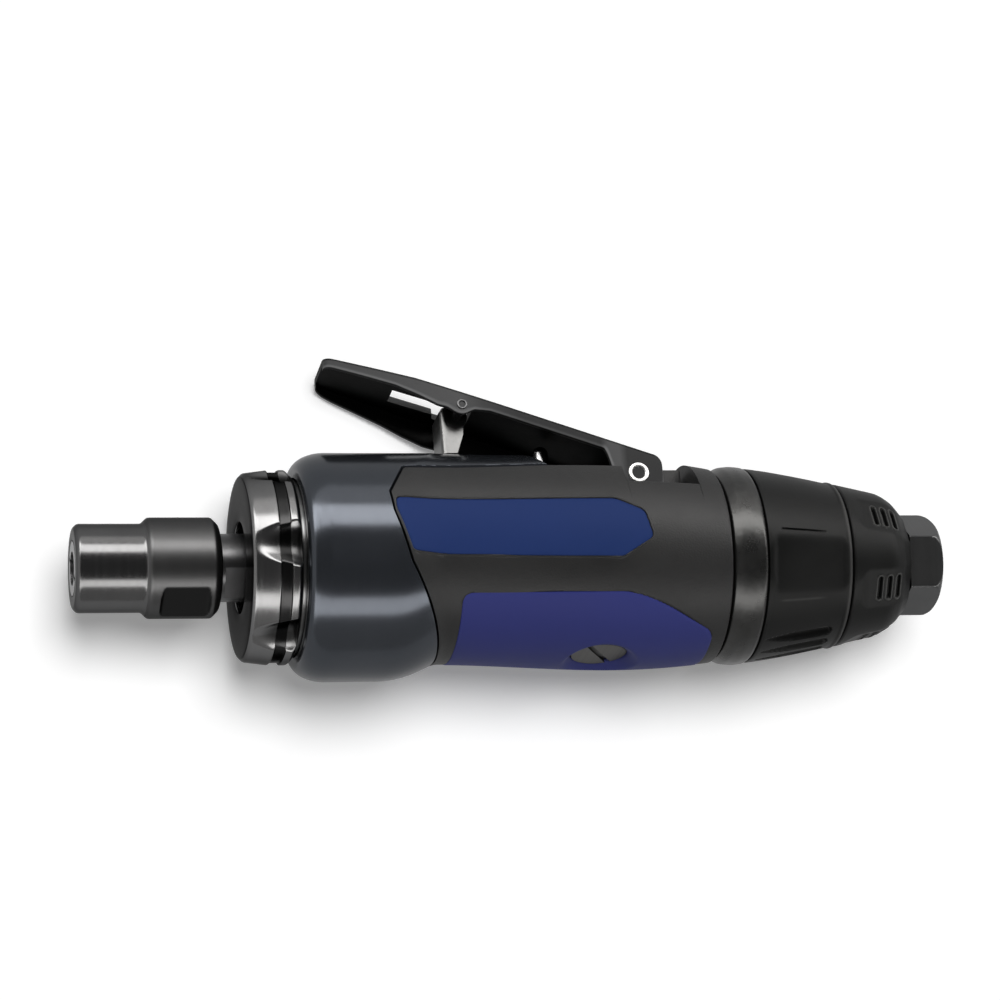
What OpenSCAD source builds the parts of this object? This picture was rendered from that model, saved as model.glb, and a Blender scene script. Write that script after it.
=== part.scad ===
// Pneumatic die grinder with a straight collet nose, a squeeze lever and a rear exhaust.
// The tool is drawn along X: collet mouth at x = 0, air inlet at high x, lever towards +Z and
// the badge seen first towards -Y. Every piece is then laid on its side, as it rests on a bench.

/* [Collet nose] */
// Diameter of the shank that the collet holds
shank_d = 6.35; // [3:0.05:8]
// Length of the collet nut
nut_len = 27; // [24:0.5:32]
// Diameter of the front half of the nut
nut_front_d = 16.6; // [15.4:0.1:18]
// Diameter of the rear half of the nut
nut_rear_d = 18.9; // [18.2:0.1:21]
// Length of the front half of the nut
nut_front_len = 12.3; // [9:0.1:13]
// Width across the two wrench flats of the nut
nut_flats = 17; // [14:0.1:18]
// Thread diameter on the spindle nose
nose_thread_d = 11; // [10.4:0.1:11.6]
// Visible diameter of the spindle
spindle_d = 12.8; // [12:0.1:14]
// Width across the two wrench flats of the spindle
spindle_flats = 11; // [9:0.1:11.8]
// Visible length of spindle between the nut and the lock ring
spindle_show = 4.2; // [2:0.1:8]

/* [Lock ring] */
// Diameter over the rim of the lock ring
ring_d = 37; // [36:0.1:38.6]
// Visible length of the lock ring
ring_len = 10.1; // [8:0.1:12]
// Diameter of the spindle hole in the lock ring
ring_bore_d = 17.2; // [15:0.1:18]
// Number of spanner notches in the lock ring
ring_notches = 6; // [4:1:6]
// Radius of the scoop of a spanner notch
notch_r = 3.4; // [2.6:0.1:3.8]

/* [Air motor] */
// Outer diameter of the cylinder and the end plates
motor_d = 31; // [30.6:0.1:31.4]
// Length of the cylinder
cylinder_len = 22; // [16:0.5:24]
// Diameter of the rotor
rotor_d = 23.2; // [20:0.1:23.6]
// Sideways offset of the cylinder bore from the rotor axis
cylinder_offset = 1; // [0.4:0.1:1.2]
// Number of vanes in the rotor
vanes = 4; // [3:1:6]
// Thickness of a vane
vane_t = 1.6; // [1:0.1:2.2]

/* [Housing and grip] */
// Diameter of the motor housing
housing_d = 43.1; // [42.6:0.1:45]
// Corner radius at the front of the housing
housing_round = 7; // [4:0.5:8]
// Distance from the housing front to the rear end of the grip
handle_len = 80.8; // [79:0.2:84]
// Diameter at the waist of the grip
waist_d = 39.9; // [39.4:0.1:41]
// Diameter at the swell of the grip
swell_d = 40.8; // [40.2:0.1:42]
// Diameter at the rear end of the grip
grip_end_d = 37.2; // [36.8:0.1:38.4]
// Height by which the grip axis rises at the front
grip_rise = 2; // [1:0.1:2.4]
// Wall of the moulded grip
grip_wall = 2.2; // [1.8:0.1:2.6]
// Thickness of the belly pad and the badges
inlay_t = 1.2; // [0.6:0.1:1.4]
// Diameter of the hole in the belly pad
pad_hole_d = 14; // [12:0.2:16]

/* [Lever] */
// Width of the lever channel
lever_w = 18; // [16:0.2:19]
// Sheet thickness of the lever
lever_t = 1.2; // [0.8:0.1:1.4]
// Height of the lever tip above the housing
lever_rise = 18.65; // [16.5:0.05:21]
// Depth of the side flanges of the lever
lever_flange = 2.4; // [2:0.1:3]
// Diameter of the lever pivot pin
pivot_d = 4; // [3:0.1:4.4]
// Diameter of the safety pin
safety_pin_d = 2; // [1.6:0.1:2.2]

/* [Throttle valve] */
// Diameter of the valve stem
stem_d = 3; // [2.4:0.1:3.4]
// Diameter of the valve bush
bush_d = 8; // [7.4:0.1:8.2]
// Wire diameter of the valve spring
valve_wire_d = 0.7; // [0.5:0.05:0.8]

/* [Regulator] */
// Diameter of the slotted regulator head
regulator_head_d = 10.4; // [9:0.1:11]
// Diameter of the regulator plug
regulator_d = 6.6; // [6:0.1:7]

/* [Exhaust and inlet] */
// Diameter over the satin ring behind the grip
exhaust_ring_d = 38.2; // [37.4:0.1:39.4]
// Length of the exhaust sleeve
sleeve_len = 17.6; // [14:0.2:20]
// Rear diameter of the exhaust sleeve
sleeve_end_d = 31.4; // [30:0.1:32.4]
// Wall of the exhaust sleeve and the deflector
sleeve_wall = 2; // [1.5:0.1:2.4]
// Length of the exhaust deflector
deflector_len = 13.6; // [12:0.2:15]
// Width across the flats of the inlet hexagon
inlet_flats = 17; // [16:0.1:19]
// Visible length of the inlet hexagon
inlet_hex_len = 6.8; // [5:0.1:9]
// Diameter of the threaded hole in the inlet
inlet_thread_d = 11.44; // [10.4:0.02:12]
// Depth of the threaded hole in the inlet
inlet_thread_len = 12; // [9:0.5:13]

/* [Hidden] */
$fn = 96;

// Clearances and small shared sizes
run_gap = 0.06;     // radial clearance of a shaft or pin that turns or slides
free_gap = 0.3;     // gap between faces that pass each other
seam_gap = 0.25;    // visible seam between the housing and the grip
cut_over = 0.05;    // how far a cutter reaches past a face
far = 60;           // half size of cutting slabs

// Turns about the tool axis, in degrees above the badge side
nut_turn = -73;
spindle_turn = -51;
ring_turn = -2;
hex_turn = -19;
vent_turn = 21;

// Radii of the driving diameters
housing_r = housing_d / 2;
motor_r = motor_d / 2;
rotor_r = rotor_d / 2;
ring_r = ring_d / 2;
spindle_r = spindle_d / 2;
thread_r = nose_thread_d / 2;
waist_r = waist_d / 2;
swell_r = swell_d / 2;
lever_hw = lever_w / 2;

// Stations along the tool axis
ring_x = nut_len + spindle_show;
housing_x = ring_x + ring_len;
stack_x = housing_x + 4.9;
front_bearing_w = 7;
bearing_x = stack_x + free_gap;
cylinder_x = bearing_x + front_bearing_w + 1.5;
rear_plate_x = cylinder_x + cylinder_len;
rear_bearing_w = 7;
rear_bearing_x = rear_plate_x + 1;
stack_end = rear_bearing_x + rear_bearing_w;
gasket_t = 0.3;
bulkhead_x = stack_end + gasket_t;
grip_end = housing_x + handle_len;
neck_end = grip_end + 6.6;
sleeve_x = grip_end + 6.9;
deflector_x = sleeve_x + sleeve_len;
hex_x = deflector_x + deflector_len + free_gap;
inlet_end = hex_x + inlet_hex_len;
valve_x = bulkhead_x + 5.9;
regulator_x = valve_x + 7.7;
pivot_x = grip_end - 14.2;
pivot_z = housing_r - 5.85;
lever_tip_z = housing_r + lever_rise;
lever_tip_x = pivot_x - 58.9;
knee_x = pivot_x - 41.9;
lever_rear_x = pivot_x + 4.8;
safety_x = pivot_x - 33.4;

// Lying pose: the housing and the widest corner of the lever both touch the bench
knee_z = lever_tip_z - 5;
lever_slope = (knee_z - pivot_z - 4.7) / (pivot_x - knee_x);
lean = asin(housing_r / norm([knee_z, lever_hw])) - atan2(lever_hw, knee_z);
module lay() rotate([-(90 + lean), 0, 0]) children();

// Lever lines in the side view
function lever_top(x) = x < knee_x
  ? lever_tip_z + (knee_z - lever_tip_z) * (x - lever_tip_x) / (knee_x - lever_tip_x)
  : knee_z - lever_slope * (x - knee_x);
safety_z = lever_top(safety_x) - lever_t - safety_pin_d / 2 - free_gap;
stem_top = lever_top(valve_x) - lever_t - stem_d / 2 * (1 / cos(atan(lever_slope)) - 1) - free_gap - 0.1;

// Shapes about the tool axis
module turned(points) rotate([0, 90, 0]) rotate_extrude() polygon([for (p = points) [p[1], p[0]]]);
module rod(x0, x1, r) translate([x0, 0, 0]) rotate([0, 90, 0]) cylinder(h = x1 - x0, r = r);
module tube(x0, x1, outer, inner) difference() {
  rod(x0, x1, outer);
  rod(x0 - 1, x1 + 1, inner);
}
module torus_x(x, r, wire) translate([x, 0, 0]) rotate([0, 90, 0]) rotate_extrude() translate([r, 0]) circle(wire, $fn = 32);
module around(count, first = 0) for (i = [0:count - 1]) rotate([first + 360 * i / count, 0, 0]) children();
// Slab with a side-view outline of [x, z] points
module side(points, y0 = -far, y1 = far) translate([0, y1, 0]) rotate([90, 0, 0]) linear_extrude(y1 - y0) polygon(points);
// Upright cylinder and crosswise cylinder
module post(x, z0, z1, r) translate([x, 0, z0]) cylinder(h = z1 - z0, r = r);
module axle(x, z, half, r) translate([x, half, z]) rotate([90, 0, 0]) cylinder(h = 2 * half, r = r);

// Wire swept along a path, with triangles for faces
function unit(v) = v / norm(v);
function path_dir(path, i) = unit(path[min(i + 1, len(path) - 1)] - path[max(i - 1, 0)]);
module wire(path, r, sides = 6) {
  n = len(path);
  points = [for (i = [0:n - 1]) let (t = path_dir(path, i), u = unit(cross(t, [0, 0, 1])), v = cross(u, t))
    for (j = [0:sides - 1]) path[i] + r * (cos(360 * j / sides) * u + sin(360 * j / sides) * v)];
  skin = [for (i = [0:n - 2], j = [0:sides - 1]) let (k = (j + 1) % sides, a = i * sides, b = a + sides)
    each [[a + j, b + j, b + k], [a + j, b + k, a + k]]];
  caps = [for (j = [1:sides - 2]) each [[0, j, j + 1], [(n - 1) * sides, (n - 1) * sides + j + 1, (n - 1) * sides + j]]];
  polyhedron(points, concat(skin, caps));
}
rings_per_turn = 8;
function coil(r, pitch, turns) = [for (i = [0:turns * rings_per_turn])
  [r * cos(360 * i / rings_per_turn), r * sin(360 * i / rings_per_turn), pitch * i / rings_per_turn]];
function self_gap(path, r) = min([for (i = [0:len(path) - 1], j = [i + 5:1:len(path) - 1])
  norm(path[i] - path[j])]) - 2 * r;

// Collet nose
nut_rear_r = nut_rear_d / 2;
nut_front_r = nut_front_d / 2;
nut_cone_len = 2.2;
nut_chamfer = 1.3;
nut_lip = 1.6;
collet_mouth_r = shank_d / 2 + 1.9;
collet_neck_r = shank_d / 2 + 1;
collet_head_r = thread_r - 0.3;
nut_cone_x = nut_lip + (thread_r - collet_mouth_r) * 1.6;
collet_len = 22;
collet_seat_x = nut_cone_x + 3.4;
flat_x0 = nut_front_len + nut_cone_len + 0.9;
flat_x1 = nut_len - nut_chamfer - 0.5;

module collet_nut() color("dimgray") difference() {
  turned([[0, collet_mouth_r + run_gap], [0, nut_front_r - 0.7], [0.7, nut_front_r], [nut_front_len, nut_front_r],
    [nut_front_len + nut_cone_len, nut_rear_r], [nut_len - nut_chamfer, nut_rear_r],
    [nut_len, nut_rear_r - nut_chamfer], [nut_len, thread_r + run_gap], [nut_cone_x, thread_r + run_gap],
    [nut_lip, collet_mouth_r + run_gap]]);
  rotate([-nut_turn, 0, 0]) for (s = [-1, 1])
    translate([flat_x0, s > 0 ? nut_flats / 2 : -far - nut_flats / 2, -far]) cube([flat_x1 - flat_x0, far, 2 * far]);
}

module collet() color("silver") difference() {
  turned([[0, shank_d / 2], [0, collet_mouth_r], [nut_lip - 0.2, collet_mouth_r],
    [nut_cone_x + 0.1, collet_head_r], [collet_seat_x - 0.4, collet_head_r],
    [collet_seat_x + 1.2, collet_neck_r], [collet_len, collet_neck_r], [collet_len, shank_d / 2]]);
  around(2, 45) translate([-1, -far, -0.35]) cube([collet_len - 3, 2 * far, 0.7]);
}

rotor_gap = 0.3;
rear_journal_r = 4;
front_seat_r = 7.5;
slot_r = rotor_r - 6.6;
spindle_collar = 0.5;
module rotor_spindle() color("gray") difference() {
  union() {
    turned([[collet_seat_x, 0], [collet_seat_x, thread_r - 0.4], [collet_seat_x + 0.5, thread_r],
      [nut_len + 0.2, thread_r], [nut_len + free_gap, spindle_r], [bearing_x - 0.4, spindle_r],
      [bearing_x - 0.4, front_seat_r], [bearing_x + front_bearing_w, front_seat_r],
      [bearing_x + front_bearing_w, front_seat_r + 1], [cylinder_x + rotor_gap, front_seat_r + 1],
      [cylinder_x + rotor_gap, rotor_r], [rear_plate_x - rotor_gap, rotor_r],
      [rear_plate_x - rotor_gap, rear_journal_r], [stack_end, rear_journal_r], [stack_end, 0]]);
  }
  turned([[collet_seat_x - 1, 0], [collet_seat_x - 1, collet_neck_r + 1.3], [collet_seat_x + 1.2, collet_neck_r + run_gap],
    [collet_len + free_gap, collet_neck_r + run_gap], [collet_len + free_gap, 0]]);
  rotate([-spindle_turn, 0, 0]) for (s = [-1, 1])
    translate([nut_len + free_gap + spindle_collar, s > 0 ? spindle_flats / 2 : -far - spindle_flats / 2, -far])
      cube([spindle_show + 2.4, far, 2 * far]);
  around(vanes) translate([cylinder_x, -vane_t / 2 - run_gap, slot_r]) cube([cylinder_len, vane_t + 2 * run_gap, far]);
}

module rotor_vanes() color("saddlebrown") around(vanes)
  translate([cylinder_x + rotor_gap, -vane_t / 2, slot_r])
    cube([cylinder_len - 2 * rotor_gap, vane_t, rotor_r - slot_r - 0.1]);

seal_x = housing_x - 3.2;
seal_r = ring_bore_d / 2 + 1.7;
ring_neck_r = motor_r + 1;
ring_neck_bore = motor_r - 3.3;
module spindle_seal() color("ivory") tube(seal_x, seal_x + 2.4, seal_r, spindle_r + 0.15);

ring_flange = 9.2;
notch_front_z = ring_r - 0.9 + notch_r - 0.4;
notch_rear_z = ring_r - 3.1 + notch_r;
notch_tilt = atan2(notch_front_z - notch_rear_z, ring_flange - 0.6);
module lock_ring() color("black") difference() {
  turned([[ring_x, ring_bore_d / 2], [ring_x, ring_r - 1.5], [ring_x + 0.6, ring_r - 0.9], [ring_x + 5, ring_r - 0.3],
    [ring_x + 5.2, ring_r - 0.9], [ring_x + 7.1, ring_r - 0.9], [ring_x + 7.4, ring_r], [ring_x + 8.4, ring_r],
    [ring_x + ring_flange, ring_r - 0.8], [ring_x + ring_flange, ring_neck_r], [stack_x, ring_neck_r],
    [stack_x, ring_neck_bore], [seal_x + 2.4, ring_neck_bore], [seal_x + 2.4, seal_r], [seal_x, seal_r],
    [seal_x, ring_bore_d / 2]]);
  // Scooped spanner notches that deepen towards the rear of the flange
  intersection() {
    around(ring_notches, 90 - ring_turn) translate([ring_x + 0.6, 0, notch_front_z]) rotate([0, notch_tilt, 0])
      rod(-4, ring_flange + 4, notch_r);
    rod(ring_x - 1, ring_x + ring_flange, far);
  }
}

// Ball bearings: an outer race, an inner race and a set of loose balls
ball_gap = 0.1;
function ball_r(bore, outer) = (outer - bore) * 0.3;
function pitch_r(bore, outer) = (outer + bore) / 2;
module race(x, w, inner, outer, pitch, ball) difference() {
  tube(x, x + w, outer, inner);
  torus_x(x + w / 2, pitch, ball + ball_gap);
}
module outer_race(x, w, bore, outer) {
  pitch = pitch_r(bore, outer);
  ball = ball_r(bore, outer);
  race(x, w, pitch + 0.55 * ball, outer, pitch, ball);
}
module inner_race(x, w, bore, outer) {
  pitch = pitch_r(bore, outer);
  ball = ball_r(bore, outer);
  race(x, w, bore, pitch - 0.55 * ball, pitch, ball);
}
module ball_set(x, w, bore, outer, count) around(count)
  translate([x + w / 2, 0, pitch_r(bore, outer)]) sphere(ball_r(bore, outer), $fn = 48);

front_race_r = motor_r - 1.5;
rear_race_r = 11;
module front_bearing_outer() color("lightsteelblue") outer_race(bearing_x, front_bearing_w, front_seat_r, front_race_r);
module front_bearing_inner() color("lightsteelblue") inner_race(bearing_x, front_bearing_w, front_seat_r, front_race_r);
module front_bearing_balls() color("silver") ball_set(bearing_x, front_bearing_w, front_seat_r, front_race_r, 10);
module rear_bearing_outer() color("lightsteelblue") outer_race(rear_bearing_x, rear_bearing_w, rear_journal_r, rear_race_r);
module rear_bearing_inner() color("lightsteelblue") inner_race(rear_bearing_x, rear_bearing_w, rear_journal_r, rear_race_r);
module rear_bearing_balls() color("silver") ball_set(rear_bearing_x, rear_bearing_w, rear_journal_r, rear_race_r, 7);

// Air motor: end plates, eccentric cylinder and its locating pin
pin_r = 1;
cylinder_bore_r = rotor_r + cylinder_offset + 0.3;
pin_z = -(motor_r + cylinder_bore_r - cylinder_offset) / 2;
module motor_pin_hole() translate([0, 0, pin_z]) rod(stack_x, stack_end + 1, pin_r);

module front_end_plate() color("slategray") difference() {
  rod(stack_x, cylinder_x, motor_r);
  rod(stack_x - 1, bearing_x + front_bearing_w, front_race_r);
  rod(stack_x, cylinder_x + 1, front_seat_r + 1.5);
  motor_pin_hole();
}
module cylinder_liner() color("lightgray") difference() {
  rod(cylinder_x, rear_plate_x, motor_r);
  translate([0, 0, cylinder_offset]) rod(cylinder_x - 1, rear_plate_x + 1, cylinder_bore_r);
  motor_pin_hole();
  // Exhaust ports through the wall on the side where the vanes close in
  for (i = [-1:1]) translate([(cylinder_x + rear_plate_x) / 2 + 5 * i, 0, 0]) rotate([-90, 0, 0]) cylinder(h = far, r = 1.4);
}
module cylinder_pin() color("silver") translate([0, 0, pin_z]) rod(cylinder_x - 1.5, rear_plate_x + 4, pin_r);
module rear_end_plate() color("slategray") difference() {
  rod(rear_plate_x, stack_end, motor_r);
  rod(rear_bearing_x, stack_end + 1, rear_race_r);
  rod(rear_plate_x - 1, stack_end, rear_journal_r + 1.5);
  motor_pin_hole();
  translate([0, 0, feed_z]) rod(rear_plate_x - 1, stack_end + 1, feed_r);
}
feed_r = 1.1;
feed_z = motor_r - 2.6;
module rear_gasket() color("darkolivegreen") difference() {
  tube(stack_end, bulkhead_x, motor_r - 0.2, rear_race_r + 0.3);
  translate([0, 0, feed_z]) rod(stack_end - 1, bulkhead_x + 1, feed_r);
}

// Outer form of the handle: a turned barrel, then a waisted grip on a slightly raised axis
barrel_end = housing_x + 15.7;
taper_end = housing_x + 27;
waist_x = housing_x + 31;
swell_x = grip_end - 24;
flare_x = barrel_end - 1.5;
flare_r = housing_r - 0.1;
grip_tilt = atan2(grip_rise, grip_end - barrel_end);
function ease(t) = t * t * (3 - 2 * t);
function grip_r(x) = x < waist_x ? waist_r + (flare_r - waist_r) * pow((waist_x - x) / (waist_x - flare_x), 2)
  : x < swell_x ? waist_r + (swell_r - waist_r) * ease((x - waist_x) / (swell_x - waist_x))
  : swell_r - (swell_r - grip_end_d / 2) * pow((x - swell_x) / (grip_end - swell_x), 2);
grip_steps = 20;
grip_lip = 0.9;
grip_over = 2;
module on_grip_axis() translate([grip_end, 0, 0]) rotate([0, grip_tilt, 0]) translate([-grip_end, 0, 0]) children();
// The rear end is cut square to the spindle axis, past the grip by the given length
module grip_form(inset, past = 0) intersection() {
  on_grip_axis() turned(concat([[flare_x, 0]],
    [for (i = [0:grip_steps]) let (x = flare_x + (grip_end - grip_lip - flare_x) * i / grip_steps) [x, grip_r(x) - inset]],
    [[grip_end, grip_end_d / 2 - grip_lip - inset], [grip_end + grip_over, grip_end_d / 2 - grip_lip - inset], [grip_end + grip_over, 0]]));
  rod(flare_x - 5, grip_end + past, housing_r - inset);
}
round_steps = 10;
module barrel_form() turned(concat([[housing_x, 0]],
  [for (i = [0:round_steps]) let (a = 90 * i / round_steps)
    [housing_x + housing_round * (1 - cos(a)), housing_r - housing_round * (1 - sin(a))]],
  [for (i = [0:round_steps]) let (t = i / round_steps)
    [barrel_end + (taper_end - barrel_end) * t, housing_r - (housing_r - waist_r + grip_rise) * t * t]],
  [[taper_end, 0]]));
module handle_form() {
  barrel_form();
  grip_form(0);
}

// Side-view lines shared by the housing and the grip
deck_z = housing_r - 6.55;
seam = [[housing_x + 19, 13.9], [housing_x + 15.5, 7.6], [housing_x + 15.9, 3.5], [housing_x + 18.7, -6],
  [taper_end - 1.2, -18.5], [taper_end - 1.2, -far]];
spine_end = valve_x - 6.5;
deck_x = spine_end + 4.2;
pocket_x = pivot_x - 4.9;
pocket_end = grip_end - 4.6;
pocket_z = pivot_z - 5.1;
lug_r = 3;
lug_hw = lever_hw - lever_t - free_gap;
function shifted(points, dx, dz) = [for (p = points) [p[0] + dx, p[1] + dz]];
module grip_side() side(concat(shifted(seam, seam_gap, -seam_gap), [[grip_end + 1, -far], [grip_end + 1, far],
  [pocket_end, far], [pocket_end, pocket_z], [pocket_x, pocket_z], [pocket_x, deck_z], [deck_x, deck_z]]));
module housing_side() side(concat([[deck_x, deck_z], [spine_end, housing_r + 0.1], [spine_end, far],
  [housing_x - 1, far], [housing_x - 1, -far]], [for (i = [len(seam) - 1:-1:0]) seam[i]]));
module top_cuts() {
  side([[spine_end, housing_r + 0.1], [deck_x, deck_z], [pocket_x + cut_over, deck_z], [pocket_x + cut_over, far], [spine_end, far]]);
  side([[pocket_x, pocket_z], [pocket_end, pocket_z], [pocket_end, far], [pocket_x, far]]);
}

// Air passages and valve seats
passage_r = 2.6;
chamber_r = 3.5;
seat_z = 1.3;
chamber_z = -9;
bush_r = bush_d / 2;
bush_flange_r = bush_r + 0.9;
bush_flange_t = 1.2;
gallery_z = 5;
inlet_shank_r = 8;
inlet_front = grip_end - 9;
regulator_r = regulator_d / 2;
head_r = regulator_head_d / 2;
head_top_z = -15.4;
head_z = -17.8;
plug_top = 4;
exhaust_y = 11.4;
exhaust_r = 2.2;
neck_r = 14;
neck_cut = 8;
retain_r = 0.9;
retain_z = -11.5;
retain_groove = regulator_r - 0.8;
retain_x = regulator_x + retain_groove + retain_r + run_gap;

module housing() color("#3b4048") difference() {
  union() {
    intersection() {
      handle_form();
      housing_side();
    }
    difference() {
      grip_form(grip_wall);
      top_cuts();
    }
    rod(pocket_end, neck_end, neck_r);
    translate([pivot_x - lug_r, -lug_hw, pocket_z - 1]) cube([2 * lug_r, 2 * lug_hw, pivot_z - pocket_z + 1]);
    axle(pivot_x, pivot_z, lug_hw, lug_r);
  }
  rod(housing_x - 1, stack_x, ring_neck_r);
  rod(stack_x - 1, bulkhead_x, motor_r);
  axle(pivot_x, pivot_z, far, pivot_d / 2);
  post(valve_x, seat_z, far, bush_r);
  post(valve_x, deck_z - bush_flange_t, far, bush_flange_r + run_gap);
  post(valve_x, chamber_z, seat_z + 1, chamber_r);
  translate([0, 0, gallery_z]) rod(bulkhead_x - 1, valve_x, 1.6);
  rod(valve_x, inlet_front + 1, passage_r);
  rod(inlet_front, neck_end + 1, inlet_shank_r);
  post(regulator_x, -far, plug_top + free_gap, regulator_r + run_gap);
  post(regulator_x, -far, head_top_z + free_gap, head_r + run_gap);
  axle(retain_x, retain_z, far, retain_r);
  for (s = [-1, 1]) translate([0, s * exhaust_y, 0]) rod(bulkhead_x - 1, neck_end + 1, exhaust_r);
}

// Side-view outlines of the inlays
badge_line = [[housing_x + 16.7, 6.2], [regulator_x + 0.9, 6.4], [regulator_x + 6.3, 3.8], [regulator_x + 7.6, -1.7],
  [regulator_x + 1.5, -5.5], [housing_x + 19.3, -4.5], [housing_x + 16.7, 3.4]];
pad_front = housing_x + 28.8;
pad_line = [[pad_front, -far], [pad_front, -12.3], [pad_front + 1.3, -11], [regulator_x + 3.4, -11.2],
  [regulator_x + 10, -13.1], [grip_end - 6, -15.8], [grip_end - 3.6, -16.5], [grip_end - 2.8, -17.3], [grip_end - 2.6, -far]];
module inlay(line, y0, y1) intersection() {
  difference() {
    grip_form(0);
    grip_form(inlay_t);
  }
  side(line, y0, y1);
}
module grip() color("#1b1b1c") difference() {
  intersection() {
    handle_form();
    grip_side();
  }
  grip_form(grip_wall, grip_over / 2);
  difference() {
    union() {
      side(badge_line);
      side(pad_line);
    }
    grip_form(inlay_t);
  }
  rod(grip_end - neck_cut, grip_end + grip_over, neck_r);
  post(regulator_x, -far, 0, head_r + free_gap);
}
module badge_near() color("#24326f") inlay(badge_line, -far, 0);
module badge_far() color("#24326f") inlay(badge_line, 0, far);
module belly_pad() color("#2b2f7d") difference() {
  inlay(pad_line, -far, far);
  post(regulator_x, -far, 0, pad_hole_d / 2);
}

// Lever channel: a folded sheet with a slot for the safety lever and two ears on the pivot
tip_narrow = 2.4;
tip_hw = lever_hw - tip_narrow;
tip_round = 3;
tip_flange = lever_t + 0.2;
boss_r = safety_pin_d / 2 + 1.7;
ear_r = pivot_d / 2 + 2.4;
ear_side = 0.7 * ear_r;
ear_front = 8.4;
slot_front = 11;
slot_back = 3;
slot_x0 = safety_x - slot_front;
slot_x1 = safety_x + slot_back;
web_front = 7;
web_back = 6;
lever_over = 5;
slot_hw = 5;
function lever_plan(inset) = concat(
  [for (i = [0:6]) let (a = 180 - 15 * i) [lever_tip_x + inset + tip_round + tip_round * cos(a),
    tip_hw - inset - tip_round + tip_round * sin(a)]],
  [[knee_x, lever_hw - inset], [lever_rear_x + lever_over, lever_hw - inset], [lever_rear_x + lever_over, inset - lever_hw],
    [knee_x, inset - lever_hw]],
  [for (i = [0:6]) let (a = 270 - 15 * i) [lever_tip_x + inset + tip_round + tip_round * cos(a),
    inset - tip_hw + tip_round + tip_round * sin(a)]]);
module lever_outline(inset) linear_extrude(far) polygon(lever_plan(inset));
module throttle_lever() color("#161617") difference() {
  intersection() {
    union() {
      side([[lever_tip_x, lever_tip_z], [knee_x, knee_z], [lever_rear_x, lever_top(lever_rear_x)],
        [lever_rear_x, lever_top(lever_rear_x) - lever_flange], [knee_x, knee_z - lever_flange],
        [lever_tip_x, lever_tip_z - tip_flange]]);
      axle(safety_x, safety_z, lever_hw, boss_r);
      side([[safety_x - web_front, lever_top(safety_x - web_front) - lever_t],
        [safety_x + web_back, lever_top(safety_x + web_back) - lever_t], [safety_x, safety_z - boss_r]]);
      side([[pivot_x - ear_front, lever_top(pivot_x - ear_front) - lever_t], [lever_rear_x, lever_top(lever_rear_x) - lever_t],
        [lever_rear_x, pivot_z], [pivot_x + ear_side, pivot_z - ear_side], [pivot_x - ear_side, pivot_z - ear_side],
        [pivot_x - ear_r, pivot_z]]);
      axle(pivot_x, pivot_z, lever_hw, ear_r);
    }
    lever_outline(0);
  }
  intersection() {
    side([[lever_tip_x - 1, lever_tip_z - lever_t], [knee_x, knee_z - lever_t],
      [lever_rear_x + 2, lever_top(lever_rear_x + 2) - lever_t], [lever_rear_x + 2, 0], [lever_tip_x - 1, 0]]);
    lever_outline(lever_t);
  }
  translate([slot_x0, -slot_hw, 0]) cube([slot_x1 - slot_x0, 2 * slot_hw, far]);
  axle(safety_x, safety_z, far, safety_pin_d / 2);
  axle(pivot_x, pivot_z, far, pivot_d / 2 + run_gap);
}
pin_proud = 0.3;
module hollow_pin(x, z, half, r) difference() {
  axle(x, z, half, r);
  axle(x, z, far, r * 0.62);
}
module lever_pin() color("silver") hollow_pin(pivot_x, pivot_z, lever_hw + pin_proud, pivot_d / 2);
module safety_pin() color("silver") hollow_pin(safety_x, safety_z, lever_hw + pin_proud, safety_pin_d / 2);

// Safety lever: a folded tab that stands under the lever and folds forward into its slot
tab_front = 4.4;
tab_foot = safety_z - housing_r - 1.1;
tab_eye_r = safety_pin_d / 2 + 0.9;
tab_t = 1;
tab_hw = slot_hw - 0.8;
module safety_lever() color("gainsboro") translate([safety_x, 0, safety_z]) difference() {
  union() {
    for (s = [-1, 1]) {
      y0 = s > 0 ? tab_hw - tab_t : -tab_hw;
      side([[-tab_front, 0.8], [0, tab_eye_r], [tab_eye_r, 0], [0.6, -0.45 * tab_foot], [-tab_front + tab_t, -tab_foot],
        [-tab_front, -tab_foot]], y0, y0 + tab_t);
      translate([0, y0 + tab_t, 0]) rotate([90, 0, 0]) cylinder(h = tab_t, r = tab_eye_r);
    }
    translate([-tab_front, -tab_hw, -tab_foot]) cube([tab_t, 2 * tab_hw, tab_foot + 0.8]);
  }
  axle(0, 0, far, safety_pin_d / 2 + run_gap);
}

// Torsion spring on the safety pin, with one leg on the tab and one under the lever
safety_wire_r = 0.25;
safety_coil_r = safety_pin_d / 2 + 0.65;
safety_pitch = 1;
safety_turns = 4;
safety_leg = 2;
safety_path = let (c = coil(safety_coil_r, safety_pitch, safety_turns), first = c[0], last = c[len(c) - 1])
  concat([[first[0], first[1] - safety_leg, first[2]]], c, [[last[0], last[1] + safety_leg, last[2]]]);
echo(safety_spring_self_gap = self_gap(safety_path, safety_wire_r));
module safety_spring() color("silver") translate([safety_x, safety_pitch * safety_turns / 2, safety_z])
  rotate([90, 0, 0]) wire(safety_path, safety_wire_r);

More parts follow.
